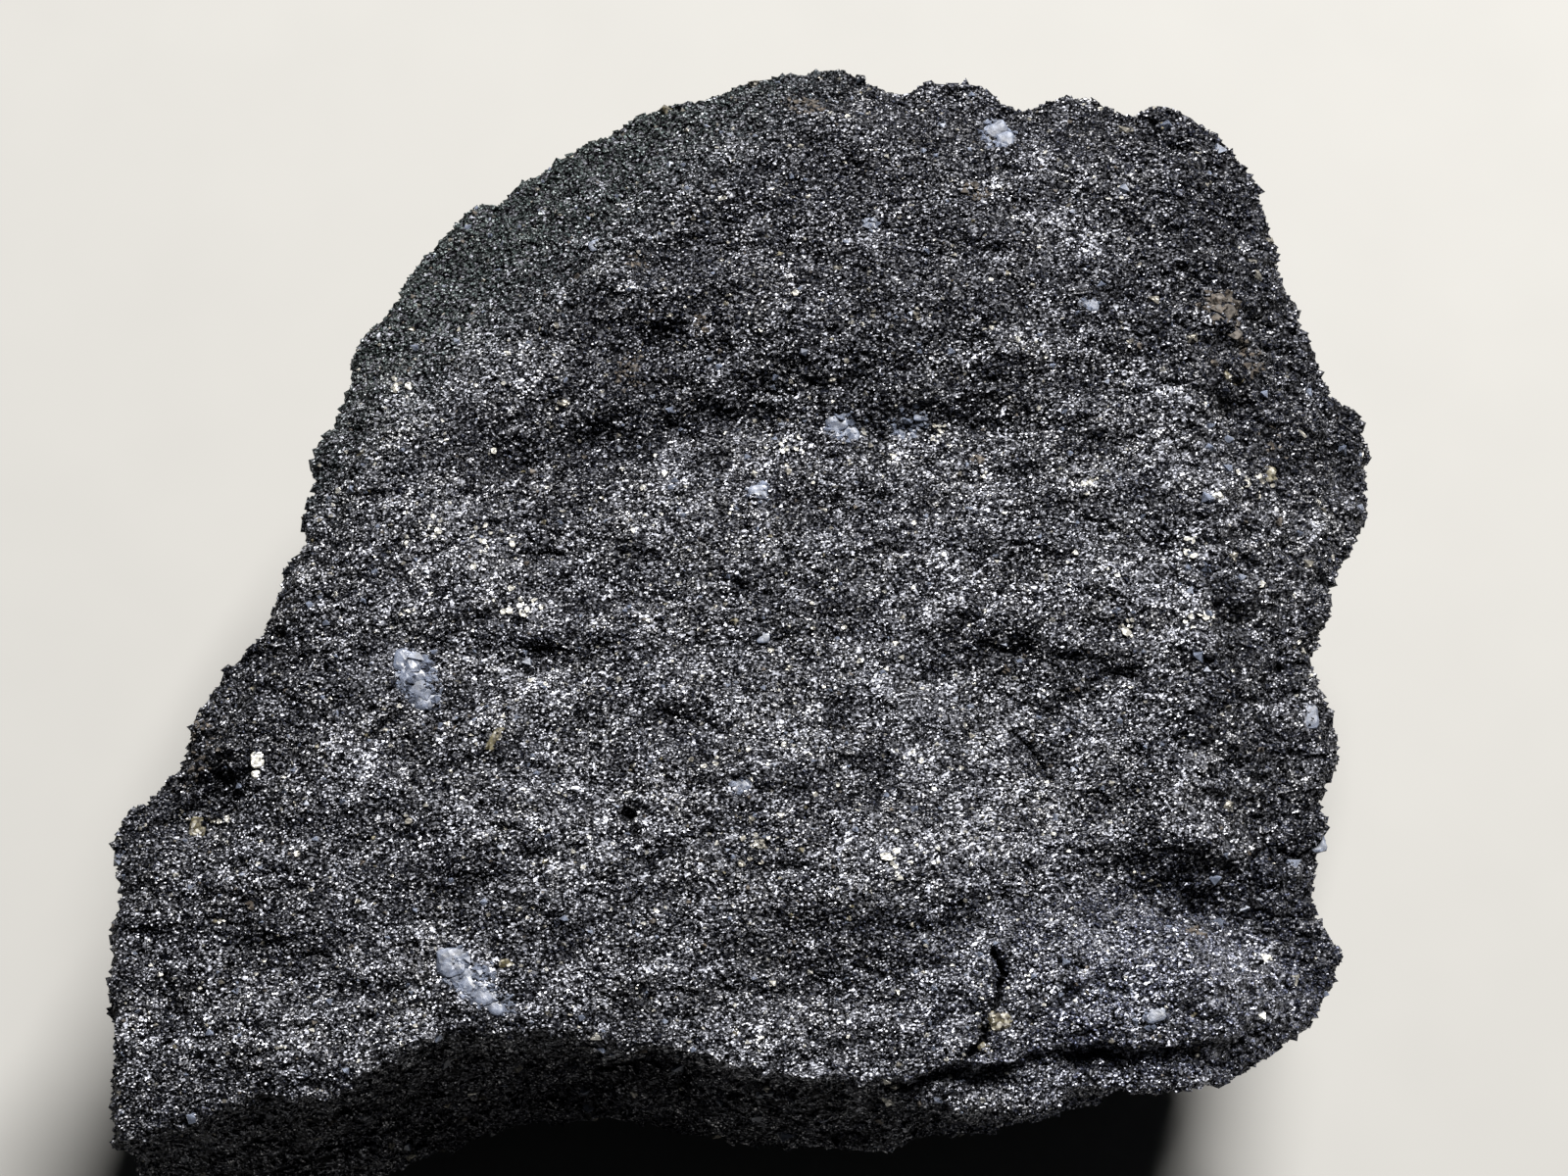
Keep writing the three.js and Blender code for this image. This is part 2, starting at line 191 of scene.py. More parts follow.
# Broad clouds of painted light and shade on the face, which also raise or sink the skin: middle and half
# widths in mm, turn in degrees, and how much paler and higher (above 0) or darker and more hollow (below 0)
# the ore is made there. The dark ones are painted shade along shadowed steps and where the face rounds over
# to the near wall. The pale ones are painted light where the face catches the lamp.
LIGHT_AND_SHADE_CLOUDS = [
    (-8.0, 21.0, 6.5, 6.5, 0, -0.75),
    (-10.0, 14.0, 9.0, 2.4, 8, -0.8),
    (-5.0, 28.0, 4.0, 2.5, 30, -0.5),
    (11.5, 18.9, 8.0, 1.3, -4, -1.3),
    (22.5, 17.5, 6.0, 1.0, -6, -0.8),
    (22.5, -5.6, 7.0, 1.1, -7, -1.7),
    (34.0, -6.2, 5.0, 0.9, 4, -0.9),
    (8.0, -28.8, 7.5, 2.0, 0, -0.9),
    (34.5, -24.0, 4.5, 1.6, -8, -1.5),
    (42.5, -21.5, 3.0, 1.4, -35, -1.0),
    (36.5, -13.0, 4.5, 1.2, -25, -0.7),
    (24.0, -13.5, 2.6, 1.2, -35, -0.9),
    (-13.5, -5.6, 4.5, 1.1, 0, -0.9),
    (-20.0, -15.0, 3.5, 1.5, 20, -0.6),
    (-23.0, -26.5, 3.0, 1.8, 0, -0.9),
    (-38.0, -30.5, 5.0, 2.2, -20, -0.8),
    (-13.0, -36.5, 6.0, 1.3, 3, -0.8),
    (-33.0, -20.0, 3.5, 1.0, 10, -0.6),
    (3.0, 34.0, 4.5, 2.8, 0, -0.5),
    (41.0, 28.0, 2.2, 4.5, 25, -1.0),
    (41.5, 16.5, 3.5, 2.8, 30, -0.9),
    (30.5, 13.0, 2.6, 1.2, 0, -0.5),
    (44.0, 3.5, 2.2, 2.2, 0, -0.7),
    (12.0, 4.0, 6.0, 1.2, 4, -0.4),
    (-22.5, 2.5, 7.5, 2.4, -42, 0.8),
    (-18.5, 24.5, 2.6, 1.8, 20, 0.6),
    (-29.0, 15.0, 1.8, 4.0, 0, 0.5),
    (6.0, 12.8, 4.5, 1.8, 12, 0.8),
    (15.5, 14.0, 4.0, 1.5, 0, 0.6),
    (28.5, 9.0, 3.0, 1.8, 25, 0.8),
    (37.5, 4.0, 3.0, 2.0, 20, 0.8),
    (37.0, -2.8, 2.8, 1.8, 0, 0.7),
    (24.5, 30.0, 3.0, 1.8, 0, 0.5),
    (37.0, 26.0, 2.6, 2.2, 0, 0.7),
    (7.0, 30.0, 3.0, 2.2, 0, 0.5),
    (15.0, -12.0, 9.0, 4.5, -20, 0.5),
    (10.0, -22.5, 5.5, 2.2, 12, 0.7),
    (-22.0, -33.5, 6.0, 2.2, -10, 0.7),
    (-6.0, -33.0, 4.5, 1.8, -15, 0.7),
    (28.0, -34.5, 11.0, 2.6, 12, 1.2),
    (42.0, -31.0, 5.5, 3.0, 15, 1.1),
    (27.0, -43.0, 12.0, 2.4, 5, 1.3),
    (-1.0, -5.0, 5.0, 3.0, 0, 0.4),
    # Painted shade where the face rounds over to the near wall at the lower left.
    (-42.0, -43.4, 10.5, 2.6, 2, -1.2),
]

# Small pits where a grain has fallen out: middle, radius and depth in mm.
PITS = [
    (-9.3, -19.3, 0.9, 1.3),
    (-8.7, -21.0, 0.6, 0.9),
    (41.3, -30.6, 1.1, 1.6),
    (21.7, 37.0, 0.6, 0.6),
    (-42.7, -14.7, 0.8, 0.4),
    (-14.3, 24.4, 0.5, 0.5),
]

# The skin's relief: the size in mm of the noise's boxes, its seed, and how high in mm it stands on the face,
# more on its right slope, on the walls, below, and low on the walls.
RELIEF = [
    ((1.9, 0.8, 1.2), 12, (0.26, 0.26, 0.26, 0.2, 0.0)),
    ((3.4, 2.6, 3.0), 13, (0.2, 0.6, 0.38, 0.3, 0.0)),
    ((7.0, 7.0, 5.0), 14, (0.0, 0.3, 0.0, 0.0, 0.8)),
    ((15.0, 15.0, 9.0), 16, (0.0, 0.0, 0.0, 0.0, 1.1)),
]

# The clear rim round each part of a map.
MAP_MARGIN = 0.005

# How much longer the grains are along X than across it, which is the ore's faint banding, and how much a
# crystal's half widths differ.
FABRIC = np.array([1.12, 0.94, 0.96])
UNEVEN = 0.26

# An octahedron, magnetite's own form: its tips and its triangles.
TIPS = np.array([(1, 0, 0), (-1, 0, 0), (0, 1, 0), (0, -1, 0), (0, 0, 1), (0, 0, -1)], float)
TIP_FACES = np.array([(0, 2, 4), (2, 1, 4), (1, 3, 4), (3, 0, 4), (2, 0, 5), (1, 2, 5), (3, 1, 5), (0, 3, 5)])

PLATE_SIDES = 6
LUMP_RINGS, LUMP_STEPS = 12, 20


def linear(hex_colour):
    """The linear red, green and blue of an sRGB colour given as #rrggbb."""
    parts = np.array([int(hex_colour[i : i + 2], 16) for i in (1, 3, 5)]) / 255
    return tuple(np.where(parts <= 0.04045, parts / 12.92, ((parts + 0.055) / 1.055) ** 2.4))


def colour_property(name, description, hex_colour):
    """A colour that the user may change, in linear light."""
    return FloatVectorProperty(
        name=name, description=description, subtype="COLOR", size=3, min=0, max=1, default=linear(hex_colour)
    )


def length_property(name, description, millimetres, least=0.05):
    """A length that the user may change, given in mm and kept in metres."""
    return FloatProperty(
        name=name,
        description=description,
        default=millimetres * MM,
        min=least * MM,
        unit="LENGTH",
        precision=5,
    )


def count_property(name, description, number):
    """A number of pieces that the user may change."""
    return IntProperty(name=name, description=description, default=number, min=1)


# Noise and vector sums


def unit(vectors):
    """Each row divided by its own length."""
    return vectors / np.maximum(np.linalg.norm(vectors, axis=1), 1e-12)[:, None]


def ramp(values, low, high):
    """0 up to low, 1 from high, and t*t*(3 - 2t) between them."""
    t = np.clip((values - low) / (high - low), 0, 1)
    return t * t * (3 - 2 * t)


def lattice_noise(points, cell, seed):
    """Smooth noise from -1 to 1. Space is cut into boxes of the size cell, a table gives every box corner a
    fixed random value, and a point gets the mean of its eight corners, each weighted by the product of
    t*t*(3 - 2t) over the three axes, where t is how near the point is to that corner."""
    table = np.random.default_rng(seed).uniform(-1, 1, 4096)
    at = points / (np.asarray(cell) * MM)
    low = np.floor(at).astype(np.int64)
    part = at - low
    part = part * part * (3 - 2 * part)
    total = np.zeros(len(points))
    for corner in np.ndindex(2, 2, 2):
        x, y, z = (low + corner).T
        weight = np.prod(np.where(corner, part, 1 - part), axis=1)
        total += weight * table[(x * 73856093 ^ y * 19349663 ^ z * 83492791) & 4095]
    return total


def corner_normals(points, faces):
    """The unit normal at each corner: the sum of its triangles' edge cross products, so that each triangle
    counts by its area."""
    a, b, c = (points[faces[:, k]] for k in range(3))
    cross = np.cross(b - a, c - a)
    total = np.zeros_like(points)
    for k in range(3):
        for axis in range(3):
            total[:, axis] += np.bincount(faces[:, k], weights=cross[:, axis], minlength=len(points))
    return unit(total)


def distance_to_line(places, line):
    """How far each place is from a line of straight stretches: the least distance to a stretch, where the
    nearest point on it is at the share of its length that the dot product gives, kept between 0 and 1."""
    nearest = np.full(len(places), np.inf)
    for start, end in zip(line[:-1], line[1:]):
        start, along = np.array(start), np.array(end) - np.array(start)
        share = np.clip((places - start) @ along / (along @ along), 0, 1)
        nearest = np.minimum(nearest, np.linalg.norm(places - start - share[:, None] * along, axis=1))
    return nearest


# The block's surface, from the CAD solid


def block_surface():
    """The corners and triangles of the CAD block, where corners at one place are made one."""
    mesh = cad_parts[NODE].data
    places = np.zeros(len(mesh.vertices) * 3, np.float32)
    mesh.vertices.foreach_get("co", places)
    mesh.calc_loop_triangles()
    corners = np.zeros(len(mesh.loop_triangles) * 3, np.int32)
    mesh.loop_triangles.foreach_get("vertices", corners)
    rounded = np.round(places.reshape(-1, 3).astype(np.float64) / MM, 4)
    points, shared = np.unique(rounded, axis=0, return_inverse=True)
    faces = shared.ravel()[corners].reshape(-1, 3)
    whole = (faces[:, 0] != faces[:, 1]) & (faces[:, 1] != faces[:, 2]) & (faces[:, 2] != faces[:, 0])
    return points * MM, faces[whole]


def halve_long_edges(points, faces, normals, longest, rounding):
    """Puts a new corner in the middle of each edge that is longer than longest(middles, normals) says, and in
    the longest edge of each triangle that has such an edge. A triangle becomes two, three or four by how many
    of its edges were halved, so neighbours still share their edges. The new corner is moved by rounding times
    its mean distance to the tangent planes of the edge's two ends, which rounds the surface a little."""
    edges = np.sort(faces[:, [[0, 1], [1, 2], [2, 0]]].reshape(-1, 2), axis=1)
    edges, which = np.unique(edges, axis=0, return_inverse=True)
    which = which.reshape(-1, 3)
    a, b = edges.T
    middle = (points[a] + points[b]) / 2
    middle_normal = unit(normals[a] + normals[b])
    length = np.linalg.norm(points[a] - points[b], axis=1)
    long = length > longest(middle, middle_normal)
    if not long.any():
        return points, faces, normals, False
    touched = faces[:, 0] < 0
    for _ in range(3):
        touched = long[which].any(1)
        widest = which[np.arange(len(faces)), length[which].argmax(1)]
        long[widest[touched]] = True
    lift = sum(((points[end] - middle) * normals[end]).sum(1)[:, None] * normals[end] for end in (a, b)) / 2
    index = np.full(len(edges), -1)
    index[long] = len(points) + np.arange(long.sum())
    points = np.vstack([points, (middle + rounding * lift)[long]])
    normals = np.vstack([normals, middle_normal[long]])
    halves = index[which]
    cut = halves >= 0
    count = cut.sum(1)
    # Each triangle is turned so that its one halved edge, or its one whole edge, comes first.
    first = np.where(count == 1, cut.argmax(1), np.where(count == 2, (~cut).argmax(1), 0))
    turn = (first[:, None] + np.arange(3)) % 3
    row = np.arange(len(faces))[:, None]
    faces, halves = faces[row, turn], halves[row, turn]
    (p, q, r), (pq, qr, rp) = faces.T, halves.T
    whole, one, two, three = (count == n for n in range(4))
    parts = [faces[whole]]
    parts += [np.stack(c, 1)[one] for c in ((p, pq, r), (pq, q, r))]
    parts += [np.stack(c, 1)[two] for c in ((r, rp, qr), (p, q, qr), (p, qr, rp))]
    parts += [np.stack(c, 1)[three] for c in ((p, pq, rp), (pq, q, qr), (rp, qr, r), (pq, qr, rp))]
    return points, np.vstack(parts), normals, True


def region_shares(normals):
    """How much each place belongs to the broad face, to the walls and to the underside, by how far up its
    broad normal points."""
    top = ramp(normals[:, 2], 0.45, 0.75)
    under = ramp(-normals[:, 2], 0.45, 0.75)
    return top, 1 - top - under, under


def right_slope(points):
    """1 on the coarser, rougher right side of the face, 0 left of it."""
    return ramp(points[:, 0] / MM + 0.10 * points[:, 1] / MM, 31, 38)


def streaks(points):
    """The short dark and light streaks along X: noise in boxes much longer in X than in Y."""
    return 0.6 * lattice_noise(points, (7.0, 1.9, 4.0), 31) + 0.4 * lattice_noise(points, (3.2, 1.0, 2.0), 32)


def in_ellipse(points, x, y, half_x, half_y, turn):
    """How far each place is from an ellipse's middle, where 1 is its rim: the length of the place's parts
    along and across the turned ellipse, each divided by its half width."""
    c, s = math.cos(math.radians(turn)), math.sin(math.radians(turn))
    right, back = points[:, 0] / MM - x, points[:, 1] / MM - y
    return np.hypot((right * c + back * s) / half_x, (back * c - right * s) / half_y)


def clouds(points):
    """The sum of the broad clouds of painted light and shade at each place: a bell of the distance from each
    one's middle, its rim made ragged by noise."""
    ragged = 0.35 * lattice_noise(points, (2.6, 1.5, 3.0), 43)
    ragged += 0.2 * lattice_noise(points, (1.1, 0.7, 1.5), 44)
    total = np.zeros(len(points))
    for *ellipse, amount in LIGHT_AND_SHADE_CLOUDS:
        total += amount * np.exp(-((in_ellipse(points, *ellipse) + ragged) ** 2))
    return total


def hollow_depth(points, top):
    """How deep the cracks, fissures and pits go at each place of the face, in metres: a bell over the
    distance to the line for a crack, its width uneven, and a smooth bowl for a pit."""
    places = points[:, :2] / MM
    depth = np.zeros(len(points))
    uneven = 1 + 0.6 * lattice_noise(points, (0.8, 0.8, 3.0), 41)
    for line, half_width, deep in CRACKS:
        away = distance_to_line(places, line) / (half_width * uneven)
        depth = np.maximum(depth, deep * np.exp(-(away**2)))
    for x, y, radius, deep in PITS:
        away = np.hypot(places[:, 0] - x, places[:, 1] - y)
        depth = np.maximum(depth, deep * (1 - ramp(away, 0.3 * radius, radius)))
    return depth * MM * top


def ledge_shift(points):
    """How far each place of the near wall stands out for the ledge, in metres. Below the rim by b mm, it is
    the ledge's reach times a ramp up from b = 1 to 2.6, and back down from b = 5 to 17."""
    x, y, z = points.T / MM
    rim, reach = (np.interp(x, LEDGE[:, 0], LEDGE[:, k]) for k in (1, 2))
    below = rim - z
    uneven = 1 + 0.3 * lattice_noise(points, (3.0, 9.0, 9.0), 42)
    profile = ramp(below, 1.0, 2.6) * (1 - ramp(below, 5.0, 17.0))
    return reach * uneven * profile * ramp(-y, 30, 34) * MM


def new_mesh_piece(name, points, faces, kinds, values, map_places, materials):
    """A closed mesh object at the origin, with flat facets, a material for each triangle, one map, and the
    named numbers on its corners."""
    mesh = bpy.data.meshes.new(name)
    mesh.vertices.add(len(points))
    mesh.vertices.foreach_set("co", points.astype(np.float32).ravel())
    mesh.loops.add(faces.size)
    mesh.loops.foreach_set("vertex_index", faces.astype(np.int32).ravel())
    mesh.polygons.add(len(faces))
    mesh.polygons.foreach_set("loop_start", np.arange(0, faces.size, 3, dtype=np.int32))
    for material in materials:
        mesh.materials.append(material)
    mesh.polygons.foreach_set("material_index", kinds.astype(np.int32))
    for label, numbers in values.items():
        own = mesh.attributes.new(label, "FLOAT", "POINT")
        own.data.foreach_set("value", numbers.astype(np.float32))
    layer = mesh.uv_layers.new(name=MAP_NAME)
    layer.data.foreach_set("uv", map_places.astype(np.float32).ravel())
    mesh.update(calc_edges=True)
    mesh.shade_flat()
    if mesh.validate():
        raise RuntimeError(f"{name} had faces that were not sound")
    piece = bpy.data.objects.new(name, mesh)
    bpy.context.scene.collection.objects.link(piece)
    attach(piece, "root")
    return piece


# Maps: where each triangle's colours lie on its piece's square map


def fitted(places, groups, boxes):
    """Moves each group of flat places into its own box (left, bottom, right, top) of the map, and stretches
    it to fill the box up to its margin."""
    out = np.zeros_like(places)
    for number, box in enumerate(boxes):
        mine = groups == number
        if mine.any():
            flat = places[mine]
            low, high = flat.min(0), flat.max(0)
            share = (flat - low) / np.maximum(high - low, 1e-9)
            start, end = np.array(box[:2]) + MAP_MARGIN, np.array(box[2:]) - MAP_MARGIN
            out[mine] = start + share * (end - start)
    return out


def walk_round(points, middle):
    """The angle round the block at each place, from 0 to 1, anticlockwise from +X, measured near the angle of
    its triangle's middle so that no triangle wraps round."""
    own = np.arctan2(points[:, 1], points[:, 0]) / (2 * math.pi)
    centre = np.arctan2(middle[:, 1], middle[:, 0]) / (2 * math.pi)
    return centre % 1 + (own - centre + 0.5) % 1 - 0.5


def skin_map(points, faces, face_normals):
    """Seen from above for the face, from below for the underside, and two strips for the walls."""
    middles = points[faces].mean(1)
    corners = points[faces].reshape(-1, 3)
    middle = np.repeat(middles, 3, axis=0)
    up = np.repeat(face_normals[:, 2], 3)
    round_it = walk_round(corners, middle)
    second_half = (walk_round(middle, middle) >= 0.5).astype(int)
    group = np.where(up > 0.55, 0, np.where(up < -0.55, 1, 2 + second_half))
    seen = np.where((group < 2)[:, None], corners[:, :2], np.stack([round_it, corners[:, 2]], 1))
    return fitted(seen, group, [(0, 0.5, 0.5, 1), (0.5, 0.5, 1, 1), (0, 0.25, 1, 0.5), (0, 0, 1, 0.25)])


def grain_map(points, faces, grain_middles, of_wall):
    """Seen from above for grains of the face or the underside, and two strips for grains of a wall. All the
    triangles of a grain are placed together."""
    corners = points[faces].reshape(-1, 3)
    middle = np.repeat(grain_middles, 3, axis=0)
    if not of_wall:
        return fitted(corners[:, :2], np.zeros(len(corners), int), [(0, 0, 1, 1)])
    around = walk_round(middle, middle)
    upper = (around > np.median(around)).astype(int)
    seen = np.stack([walk_round(corners, middle), corners[:, 2]], 1)
    return fitted(seen, upper, [(0, 0.5, 1, 1), (0, 0, 1, 0.5)])


# Grains


def scattered(points, faces, weight, count, rng):
    """Places spread over a surface, about evenly: the triangles' areas times their weights are laid end to
    end, and one place is drawn in each of count equal stretches of that line."""
    a, b, c = (points[faces[:, k]] for k in range(3))
    area = np.linalg.norm(np.cross(b - a, c - a), axis=1) / 2 * weight
    ends = np.cumsum(area)
    at = (np.arange(count) + rng.random(count)) / count * ends[-1]
    chosen = np.minimum(np.searchsorted(ends, at), len(faces) - 1)
    u, v = rng.random((2, count, 1))
    u, v = np.where(u + v > 1, 1 - u, u), np.where(u + v > 1, 1 - v, v)
    return a[chosen] + u * (b - a)[chosen] + v * (c - a)[chosen], chosen


def random_turns(count, rng):
    """Turning matrices of random unit quaternions (w, x, y, z)."""
    w, x, y, z = unit(rng.normal(size=(count, 4))).T
    rows = [
        [1 - 2 * (y * y + z * z), 2 * (x * y - z * w), 2 * (x * z + y * w)],
        [2 * (x * y + z * w), 1 - 2 * (x * x + z * z), 2 * (y * z - x * w)],
        [2 * (x * z - y * w), 2 * (y * z + x * w), 1 - 2 * (x * x + y * y)],
    ]
    return np.moveaxis(np.array(rows), 2, 0)


def crystals(middles, widths, turns, rng):
    """Closed eight-faced crystals, magnetite's own form: six tips, at the middle plus and minus half a width
    along each of three turned axes, each half width times its own random share near 1, and the whole drawn
    out a little along X."""
    count = len(middles)
    reach = widths[:, None] / 2 * rng.uniform(1 - UNEVEN, 1 + UNEVEN, (count, len(TIPS)))
    tips = middles[:, None] + (reach[..., None] * TIPS) @ np.swapaxes(turns, 1, 2) * FABRIC
    faces = np.arange(count)[:, None, None] * len(TIPS) + TIP_FACES
    return tips.reshape(-1, 3), faces.reshape(-1, 3)


def minerals_at(middles, on_top, rng):
    """The mineral of each grain: mostly magnetite, with a scatter of the others, and the mineral of a patch
    inside its ellipse, by the patch's share."""
    count = len(middles)
    drawn = rng.random(count)
    kinds = np.full(count, MAGNETITE)
    for kind, below in STRAYS:
        kinds[drawn < below] = kind
    share_drawn = rng.random(count)
    for *ellipse, kind, share in PATCHES:
        inside = on_top & (share_drawn < share * (1 - ramp(in_ellipse(middles, *ellipse), 0.75, 1.15)))
        kinds[inside] = kind
    return kinds


def skin():
    """The finished skin's corners, triangles and broad normals."""
    piece = bpy.data.objects.get("ore_skin")
    if piece is None:
        raise RuntimeError("make the ore skin before its grains")
    mesh = piece.data
    points, normals = np.zeros((2, len(mesh.vertices) * 3), np.float32)
    mesh.vertices.foreach_get("co", points)
    mesh.attributes["broad_normal"].data.foreach_get("vector", normals)
    faces = np.zeros(len(mesh.loops), np.int32)
    mesh.loops.foreach_get("vertex_index", faces)
    return points.reshape(-1, 3).astype(float), faces.reshape(-1, 3), normals.reshape(-1, 3).astype(float)


def ore_values(middles, rng):
    """The numbers that the materials read at each grain: how pale it is, with painted light and shade in it,
    how dull it is, and how green and how blue the ore round it is."""
    count = len(middles)
    x, y, z = middles.T / MM
    green = ramp(y - 0.9 * x, 33, 52) * ramp(z, 20, 34)
    patches = 0.46 * lattice_noise(middles, (1.9, 1.4, 2.0), 33)
    patches += 0.24 * lattice_noise(middles, (8, 6, 9), 34)
    slope = right_slope(middles)
    patches += (0.26 + 0.4 * slope) * lattice_noise(middles, (3.6, 3.0, 4.0), 35)
    patches += 0.4 * lattice_noise(middles, (0.95, 0.75, 1.0), 36)
    # One grain in five is black, and the others differ a little.
    black = rng.random(count) < 0.2
    pale = 0.53 - 0.6 * black + 0.08 * rng.normal(size=count) + 0.2 * streaks(middles)
    pale = pale + patches - 0.24 * green
    # Painted shade: the ore is made darker towards the far edge, the left end and the far right corner, where
    # the face gets less light, and a little paler on the right slope.
    pale -= 0.3 * ramp(y, 0, 35) - 0.05 * slope + 0.12 * ramp(-x, 25, 45)
    pale -= 0.2 * np.exp(-(((x - 40) / 6) ** 2) - ((y - 37) / 5) ** 2)
    # The painted light and shade of the clouds lies on the face alone. Painted shade makes the walls and the
    # underside darker, and the cracks and pits too.
    high = ramp(z, 32, 38)
    pale += 0.5 * clouds(middles) * high - 0.42 * (1 - high)
    pale -= 1.4 * hollow_depth(middles, high) / MM
    dull = 0.45 + 0.25 * rng.normal(size=count) + 0.3 * green
    blue = np.exp(-(((x - 32) / 16) ** 2) - ((y + 34) / 9) ** 2)
    return {"pale": np.clip(pale, 0, 1), "dull": np.clip(dull, 0, 1), "green": green, "blue": blue}


# Materials


# Widths in mm of the small parting faces. The real ones go down to a few hundredths of a mm, too fine to show
# in the render, so they are drawn as coarse as they need to show.
ORE_CELL, PIT_CELL, STAIN_CELL, SILICATE_CELL = 0.15, 0.16, 0.2, 0.3

# The setting of a Mix node for colours. Its inputs 0, 6 and 7 are the share and the two colours, and its
# output 2 is the colour between them.
COLOURS = {"data_type": "RGBA"}


def connect(tree, node, **links):
    """Links or sets inputs of a node by name. A name with a number at its end, such as _6, means the input at
    that place, and a colour of three numbers gets its alpha."""
    for name, value in links.items():
        number = name.rpartition("_")[2]
        socket = node.inputs[int(number)] if number.isdigit() else node.inputs[name.replace("_", " ")]
        if isinstance(value, bpy.types.NodeSocket):
            tree.links.new(value, socket)
        else:
            socket.default_value = (*value, 1.0) if socket.type == "RGBA" else value


def add_node(tree, kind, settings=None, **links):
    """Adds one node with its settings and its links."""
    node = tree.nodes.new(kind)
    for name, value in (settings or {}).items():
        setattr(node, name, value)
    connect(tree, node, **links)
    return node


def new_material(name, *labels):
    """An empty node material, its tree and its shader, and those of the numbers that a piece carries on its
    corners whose labels are given."""
    material = bpy.data.materials.new(name)
    material.use_nodes = True
    tree = material.node_tree
    numbers = (add_node(tree, "ShaderNodeAttribute", {"attribute_name": label}) for label in labels)
    return material, tree, tree.nodes["Principled BSDF"], *(number.outputs["Fac"] for number in numbers)


def cloudy_noise(tree, millimetres):
    """Noise whose clouds are about so many mm wide."""
    place = add_node(tree, "ShaderNodeTexCoord").outputs["Object"]
    return add_node(tree, "ShaderNodeTexNoise", Vector=place, Scale=1 / (millimetres * MM)).outputs["Fac"]


def small_cells(tree, millimetres, stretch):
    """Space cut into random cells of about so many mm, stretched along X: each cell's random colour, and how
    far a place is from its cell's middle."""
    place = add_node(tree, "ShaderNodeTexCoord").outputs["Object"]
    squeezed = add_node(tree, "ShaderNodeMapping", Vector=place, Scale=(1 / stretch, 1, 1)).outputs[0]
    cells = add_node(tree, "ShaderNodeTexVoronoi", Vector=squeezed, Scale=1 / (millimetres * MM))
    return cells.outputs["Color"], cells.outputs["Distance"]


def facets(tree, cell, tilt):
    """The normal of small flat parting faces: the surface's own, leaning by the cell's random colour, less
    the middle grey, times tilt."""
    lean = add_node(tree, "ShaderNodeVectorMath", {"operation": "SUBTRACT"}, _0=cell, _1=(0.5, 0.5, 0.5))
    normal = add_node(tree, "ShaderNodeNewGeometry").outputs["Normal"]
    links = {"_0": lean.outputs[0], "_1": (tilt, tilt, tilt), "_2": normal}
    leant = add_node(tree, "ShaderNodeVectorMath", {"operation": "MULTIPLY_ADD"}, **links).outputs[0]
    return add_node(tree, "ShaderNodeVectorMath", {"operation": "NORMALIZE"}, _0=leant).outputs[0]


def cell_tone(tree, cell, pale, power):
    """How pale each small parting face is, from 0 to 1, and its second random number: seven tenths of its
    own random number and three tenths of how pale the ore is there, spread wider and raised to power."""
    own, second = add_node(tree, "ShaderNodeSeparateColor", Color=cell).outputs[:2]
    tone = add_node(tree, "ShaderNodeMix", _0=0.7, _2=pale, _3=own).outputs[0]
    tone = add_node(tree, "ShaderNodeMapRange", Value=tone, From_Min=0.2, From_Max=0.86).outputs[0]
    return add_node(tree, "ShaderNodeMath", {"operation": "POWER"}, _0=tone, _1=power).outputs[0], second


def broken_magnetite(colours):
    """Massive magnetite, freshly broken: an opaque iron oxide of submetallic lustre whose cleavage-like
    parting faces flash as steel-grey mirrors, with painted shade making the hackly ground between them nearly
    black."""
    labels = ("pale", "dull", "green", "blue")
    material, tree, shader, pale, dull, green, blue = new_material("broken_magnetite", *labels)
    cell, off_middle = small_cells(tree, ORE_CELL, 1.3)
    tone, gloss = cell_tone(tree, cell, pale, 2.0)
    # The palest faces are tinged faintly violet and yellow in clouds a few mm wide.
    cloud = cloudy_noise(tree, 3.5)
    cloud = add_node(tree, "ShaderNodeMapRange", Value=cloud, From_Min=0.35, From_Max=0.65).outputs[0]
    cast = add_node(tree, "ShaderNodeMix", COLOURS, _0=cloud, _6=colours.ore_blue, _7=colours.ore_warm)
    ore = add_node(tree, "ShaderNodeMix", COLOURS, _0=0.28, _6=colours.ore_pale, _7=cast.outputs[2])
    ore = add_node(tree, "ShaderNodeMix", COLOURS, _0=tone, _6=colours.ore_dark, _7=ore.outputs[2])
    blue = add_node(tree, "ShaderNodeMapRange", Value=blue, To_Min=0.08, To_Max=0.42).outputs[0]
    ore = add_node(tree, "ShaderNodeMix", COLOURS, _0=blue, _6=ore.outputs[2], _7=colours.ore_blue)
    green = add_node(tree, "ShaderNodeMapRange", Value=green, To_Max=0.5).outputs[0]
    ore = add_node(tree, "ShaderNodeMix", COLOURS, _0=green, _6=ore.outputs[2], _7=colours.ore_green)
    # Painted shade: the rims of the small parting faces are mixed towards the dark gap colour, for the shade
    # in the gaps between them.
    seam_shade = {"Value": off_middle, "From_Min": 0.4, "From_Max": 0.66, "To_Max": 0.92}
    seam_shade = add_node(tree, "ShaderNodeMapRange", **seam_shade).outputs[0]
    ore = add_node(tree, "ShaderNodeMix", COLOURS, _0=seam_shade, _6=ore.outputs[2], _7=colours.pit_dark)
    dull = add_node(tree, "ShaderNodeMix", _0=0.75, _2=dull, _3=gloss).outputs[0]
    rough = add_node(tree, "ShaderNodeMapRange", Value=dull, To_Min=0.34, To_Max=0.86).outputs[0]
    normal = facets(tree, cell, 1.1)
    connect(tree, shader, Base_Color=ore.outputs[2], Roughness=rough, Metallic=1.0, Normal=normal)
    return material


